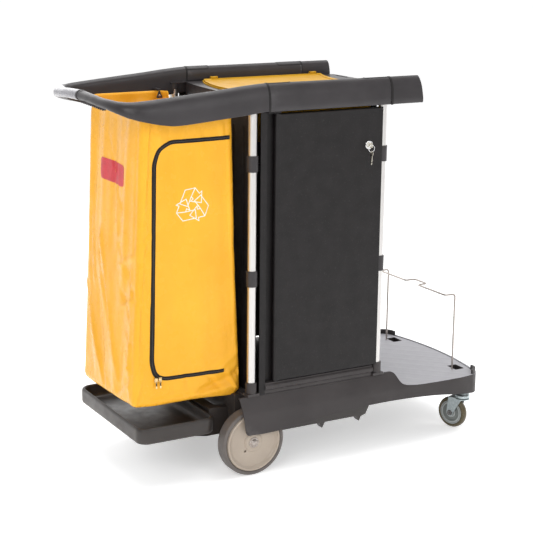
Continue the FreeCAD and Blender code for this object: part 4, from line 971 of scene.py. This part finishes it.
def bag_mesh():
    """Walls from the base up to the open rim, then the base, which sags a little towards its middle."""
    bottom, top = BAG_ROWS[0][0], BAG_ROWS[-1][0]
    heights = [bottom + (top - bottom) * (i / BAG_HEIGHT_STEPS) ** 1.12 for i in range(BAG_HEIGHT_STEPS + 1)]
    verts = []
    for z in heights:
        t = (z - bottom) / (top - bottom)
        taut = min(1.0, (1 - t) * 14) * min(1.0, t * 20)
        for p, normal, face, s, width in bag_ring(z):
            belly = BELLY * math.sin(math.pi * s) * math.sin(math.pi * min(1, t * 1.05)) ** 0.8
            if face == "near":
                belly *= 0.4
            ripple = RIPPLE * noise.noise(Vector((p.x / 90, p.y / 90, z / 260)))
            ripple += FINE_RIPPLE * noise.noise(Vector((p.x / 34 + 7, p.y / 34, z / 60)))
            out = (belly + ripple) * taut + fold_height(face, s, width, z) * min(1.0, 0.25 + taut)
            if z > top - HEM_DEPTH:
                out += HEM_RISE * min(1.0, (z - top + HEM_DEPTH) / 3)
            q = p + normal * out
            verts.append((q.x / 1000, q.y / 1000, (z + bag_drop(p, face, s, t)) / 1000))
    cols = len(verts) // len(heights)
    ring = [Vector(v) for v in verts[:cols]]
    middle = sum(ring, Vector()) / cols
    for i in range(1, BASE_ROWS):
        f = i / BASE_ROWS
        for p in ring:
            q = p.lerp(middle, f)
            floor_z = BASE_Z + 0.003 * noise.noise(Vector((q.x * 14, q.y * 14, 5)))
            verts.append((q.x, q.y, p.z * (1 - f) + floor_z * f - 0.004 * math.sin(math.pi * f)))
    verts.append((middle.x, middle.y, BASE_Z))
    faces = grid_faces(len(heights), cols, False, True)
    rings = [0] + [(len(heights) + i) * cols for i in range(BASE_ROWS - 1)]
    for outer, inner in zip(rings, rings[1:]):
        for j in range(cols):
            k = (j + 1) % cols
            faces.append((outer + j, outer + k, inner + k, inner + j))
    faces += [(rings[-1] + j, rings[-1] + (j + 1) % cols, len(verts) - 1) for j in range(cols)]
    return verts, faces


bag_verts, bag_faces = bag_mesh()
bag = piece("bag_body", bag_verts, bag_faces, "cart", "bag_vinyl", 60)
thickness = bag.modifiers.new("thickness", "SOLIDIFY")
thickness.thickness = VINYL
thickness.offset = -1
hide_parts("bag")
# one wrapped panel as wide as the bag is round, with its square base cut from the same piece
bag_tree = BVHTree.FromPolygons([Vector(v) for v in bag_verts], bag_faces)


def on_bag(x, z):
    """Point and outward normal of the bag's near face at an X and a height."""
    hit, normal, _, _ = bag_tree.ray_cast(Vector((x, -0.5, z)), Vector((0, 1, 0)))
    return hit, -normal if normal.y > 0 else normal


def on_left(y, z):
    """Point and outward normal of the bag's end face, under the push bar."""
    hit, normal, _, _ = bag_tree.ray_cast(Vector((-1, y, z)), Vector((1, 0, 0)))
    return hit, -normal if normal.x > 0 else normal


# zip in three sides of a panel, from its upper right end round to its lower right end
ZIP_CORNERS = [(-0.280, 1.003), (-0.462, 1.001), (-0.500, 0.983), (-0.5125, 0.942), (-0.5145, 0.700),
               (-0.5195, 0.376), (-0.509, 0.333), (-0.478, 0.3215), (-0.287, 0.318)]
zip_line = rounded([(x, z, 0) for x, z in ZIP_CORNERS], 0.03, 16, closed=False)
zip_line = np.array([(p.x, p.y) for p in zip_line])
zip_line = resampled(zip_line, np.arange(0, distances(zip_line)[-1], 0.0015))
for _ in range(60):
    zip_line[1:-1] = (zip_line[:-2] + 2 * zip_line[1:-1] + zip_line[2:]) / 4


def tape_profile(i):
    """Flat tape, wider on the lower part of the zip's upright run."""
    x, z = zip_line[i]
    wide = 1.0 + 0.22 * min(1.0, max(0.0, (0.62 - z) / 0.12)) * (x < -0.50)
    return ((-wide, -0.0008), (-wide, 0.0007), (-0.45, 0.0009),
            (0.45, 0.0009), (wide, 0.0007), (wide, -0.0008))


def teeth_profile(i):
    rise = 0.0022 if i % 2 else 0.0015
    return ((-1, 0.0004), (-0.7, rise), (0.7, rise), (1, 0.0004))


cloth_tape = Surface("zip_tape", rough=0.8, specular=0.2)
cloth_tape.base((0.012, 0.010, 0.010), (0.022, 0.019, 0.018), cloth_tape.noise(500, 3))
cloth_tape.bump(cloth_tape.wave(900, "DIAGONAL"), 0.00012, 0.7)
teeth_finish = finish_tyre("zip_teeth_black", (0.01, 0.009, 0.009), (0.02, 0.018, 0.018), 0.35, 0.5)
for name, half, profile, finish, angle in (("zip_tape", 0.0058, tape_profile, cloth_tape, 30),
                                           ("zip_teeth", 0.0016, teeth_profile, teeth_finish, 20)):
    strip = stroke(zip_line, half, profile, False, on_bag)
    piece(name, *strip, "cart", finish, angle, slot="bag_vinyl")


for letter in "ab":
    # slider with a ring, a dark cord pull and a brass tip; heights are from a little under its top
    node = "zip_slider_" + letter
    low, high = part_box(node)
    origin = Vector(((low.x + high.x) / 2, high.y - 0.0016, high.z - 0.006))
    metal = Parts()
    for x, front, back, bottom, top, bevel in ((0.0048, -0.0052, -0.0012, -0.007, 0.006, 0.0012),
                                               (0.0014, -0.0072, -0.0045, -0.004, 0.005, 0.0008),
                                               (0.0024, -0.0076, -0.0052, -0.026, -0.0175, 0.0009)):
        metal.add(*block(origin + Vector((-x, front, bottom)), origin + Vector((x, back, top)), bevel))
    turns = np.linspace(0, 2 * math.pi, 24, endpoint=False)
    ring = [origin + Vector((0.0024 * math.sin(a), -0.0068, 0.003 * math.cos(a) - 0.006)) for a in turns]
    metal.add(*round_loop(ring, 0.0006, 8))
    made = metal.piece("zip_pull_" + letter, node, "zip_brass", 35)
    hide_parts(node)
    cord_low, cord_high = Vector((-0.0019, -0.0073, -0.0195)), Vector((0.0019, -0.0055, -0.0075))
    cord = block(origin + cord_low, origin + cord_high, 0.0007)
    piece("zip_pull_" + letter + "_cord", *cord, node, teeth_finish, 35, slot="zip_brass")

# three chasing arrows, drawn as thin printed outlines
MARK_AT = (-0.397, 0.819)
MARK_R = 0.060
MARK_LINE_HALF = 0.0012
PRINT = ((-1, -0.0004), (-1, 0.00035), (1, 0.00035), (1, -0.0004))


def arrow_outline(turn):
    """Outline of one arrow that bends round a corner of the triangle, and the crease of its bend."""
    corner = Vector((0, MARK_R * 0.84))
    up, down = Vector((0.5, 0.866)), Vector((0.5, -0.866))
    out_left, out_right = Vector((-0.866, 0.5)), Vector((0.866, 0.5))
    h = MARK_R * 0.20
    tail = corner - up * MARK_R * 0.84
    before, after = corner - up * MARK_R * 0.16, corner + down * MARK_R * 0.16
    neck = corner + down * MARK_R * 0.50
    tip = corner + down * MARK_R * 0.92
    inner = corner - Vector((0, 2 * h))
    outline = [tail + out_left * h, before + out_left * h, after + out_right * h, neck + out_right * h,
               neck + out_right * h * 1.8, tip, neck - out_right * h * 1.8, neck - out_right * h, inner,
               tail - out_left * h]
    turned = Matrix.Rotation(turn, 2)
    crease = [after + out_right * h, inner]
    return [[Vector(MARK_AT) + turned @ p for p in line] for line in (outline, crease)]


def dense(points, closed, step=0.003):
    """The same line with points no more than about a step apart."""
    line = [np.array(p) for p in points]
    if closed:
        line.append(line[0])
    result = []
    for p, q in zip(line, line[1:]):
        count = max(1, int(np.linalg.norm(q - p) / step))
        result += [p + (q - p) * i / count for i in range(count)]
    return result if closed else result + [line[-1]]


mark = Parts()
for k in range(3):
    for line, closed in zip(arrow_outline(math.radians(8 + 120 * k)), (True, False)):
        mark.add(*stroke(dense(line, closed), MARK_LINE_HALF, PRINT, closed, on_bag))
ink = Surface("printed_white", rough=0.45)
ink.base((0.72, 0.68, 0.58), (0.82, 0.80, 0.74), ink.clouds(260, 4, 0.4, 0.6))
mark.piece("recycling_outline", "cart", ink, 30, slot="bag_vinyl")

# plain sewn patch on the end of the bag
PATCH_AT = (-0.004, 0.893)
PATCH_HALF = (0.098, 0.031)
PATCH_ROWS, PATCH_COLS = 18, 48
PATCH_RISE = 0.0009
# how far the outline is drawn in at the corners
PATCH_PINCH = 0.10
patch_verts = []
for level in (-0.0004, PATCH_RISE):
    for i in range(PATCH_ROWS + 1):
        for j in range(PATCH_COLS + 1):
            u, v = 2 * j / PATCH_COLS - 1, 2 * i / PATCH_ROWS - 1
            pinch = 1 - PATCH_PINCH * (abs(u) ** 10) * (abs(v) ** 6)
            y, z = PATCH_AT[0] + u * pinch * PATCH_HALF[0], PATCH_AT[1] + v * pinch * PATCH_HALF[1]
            hit, normal = on_left(y, z)
            worn_edge = 0.0004 if level > 0 and max(abs(u), abs(v)) > 0.97 else 0.0
            patch_verts.append(hit + normal * (level - worn_edge))
stride = PATCH_COLS + 1
last = PATCH_ROWS * stride
border = list(range(PATCH_COLS)) + list(range(PATCH_COLS, last + PATCH_COLS, stride))
border += list(range(last + PATCH_COLS, last, -1)) + list(range(last, 0, -stride))
patch_faces = doubled(grid_faces(PATCH_ROWS + 1, stride), last + stride, [border])
patch_finish = Surface("patch_red", rough=0.5)
patch_finish.base((0.50, 0.012, 0.022), (0.60, 0.02, 0.035), patch_finish.clouds(60, 4))
for thread_way in "ZY":
    patch_finish.bump(patch_finish.wave(700, thread_way), 0.0001, 0.6)
piece("bag_patch", patch_verts, patch_faces, "cart", patch_finish, 40, slot="bag_vinyl")

# clips that hang the bag: a strap from the hoop over the rim, a triangular tab inside and a rivet
clips = Parts()
rivets = Parts()
hook_low, hook_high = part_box("bag_hooks")
hook_x = (hook_low.x + hook_high.x) / 2
rim_z = hook_high.z
# the bag's walls at the clips, then the tab as (along, below the rim), both in metres, and the rivet's
# outline as (radius, height) in millimetres
HOOK_WALL = 0.2065
TAB = ((0, 0.004), (0.010, 0.030), (-0.010, 0.030))
BUTTON = ((0.2, 0.0), (3.6, 0.0), (3.6, 0.9), (3.0, 1.7), (1.8, 2.3), (0.2, 2.5))
for _, side in SIDES:
    wall_y = side * HOOK_WALL
    tab = [Vector((hook_x + x, wall_y, rim_z - down)) for x, down in TAB]
    clips.add(*prism(rounded(tab, 0.002, 3), (0, -side * 0.003, 0)))
    y0, y1 = sorted((wall_y - side * 0.002, wall_y + side * 0.031))
    clips.add(*block((hook_x - 0.006, y0, rim_z - 0.0065), (hook_x + 0.006, y1, rim_z - 0.002), 0.0012))
    rivets.add(*lathe(BUTTON, (hook_x, wall_y - side * 0.003, rim_z - 0.022), (0, -side, 0), 24))
made = clips.piece("bag_clips", "cart", "frame_plastic", 35)
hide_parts("bag_hooks")
rivets.piece("bag_rivets", "cart", "wire_steel", 40)

# ---- finish ----
# width of the rounded edges in millimetres, by the family of nodes
BEVELS = {
    0.0: "key_ring wire_frame caster_tyre rail",
    0.2: "lid_pins",
    0.3: "door_pins lock_body lock_plug lock_key spare_key",
    0.4: "axle_cap",
    0.5: "rear_axle lock_strike caster_bolt pole",
    0.6: "door_panel back_panel panel_bag_end panel_platform_end",
    0.7: "caster_fork",
    0.8: "push_bar_collar wheel_tyre caster_race caster_hub rail_cap",
    1.0: "underframe pole_feet tray_beam hinge_post top_deck bin shelf_lower shelf_upper",
    1.2: "chassis door_sill bin_lid wheel_disc",
    1.5: "tray_bracket",
}
BEVEL_OF = {family: width for width, families in BEVELS.items() for family in families.split()}
for node in NODES:
    family = node if node in BEVEL_OF else node.split("_near")[0].split("_far")[0]
    if family.startswith("pole_") and family != "pole_feet":
        family = "pole"
    if family in BEVEL_OF:
        smooth_cad(node, BEVEL_OF[family] / 1000)

low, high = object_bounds()
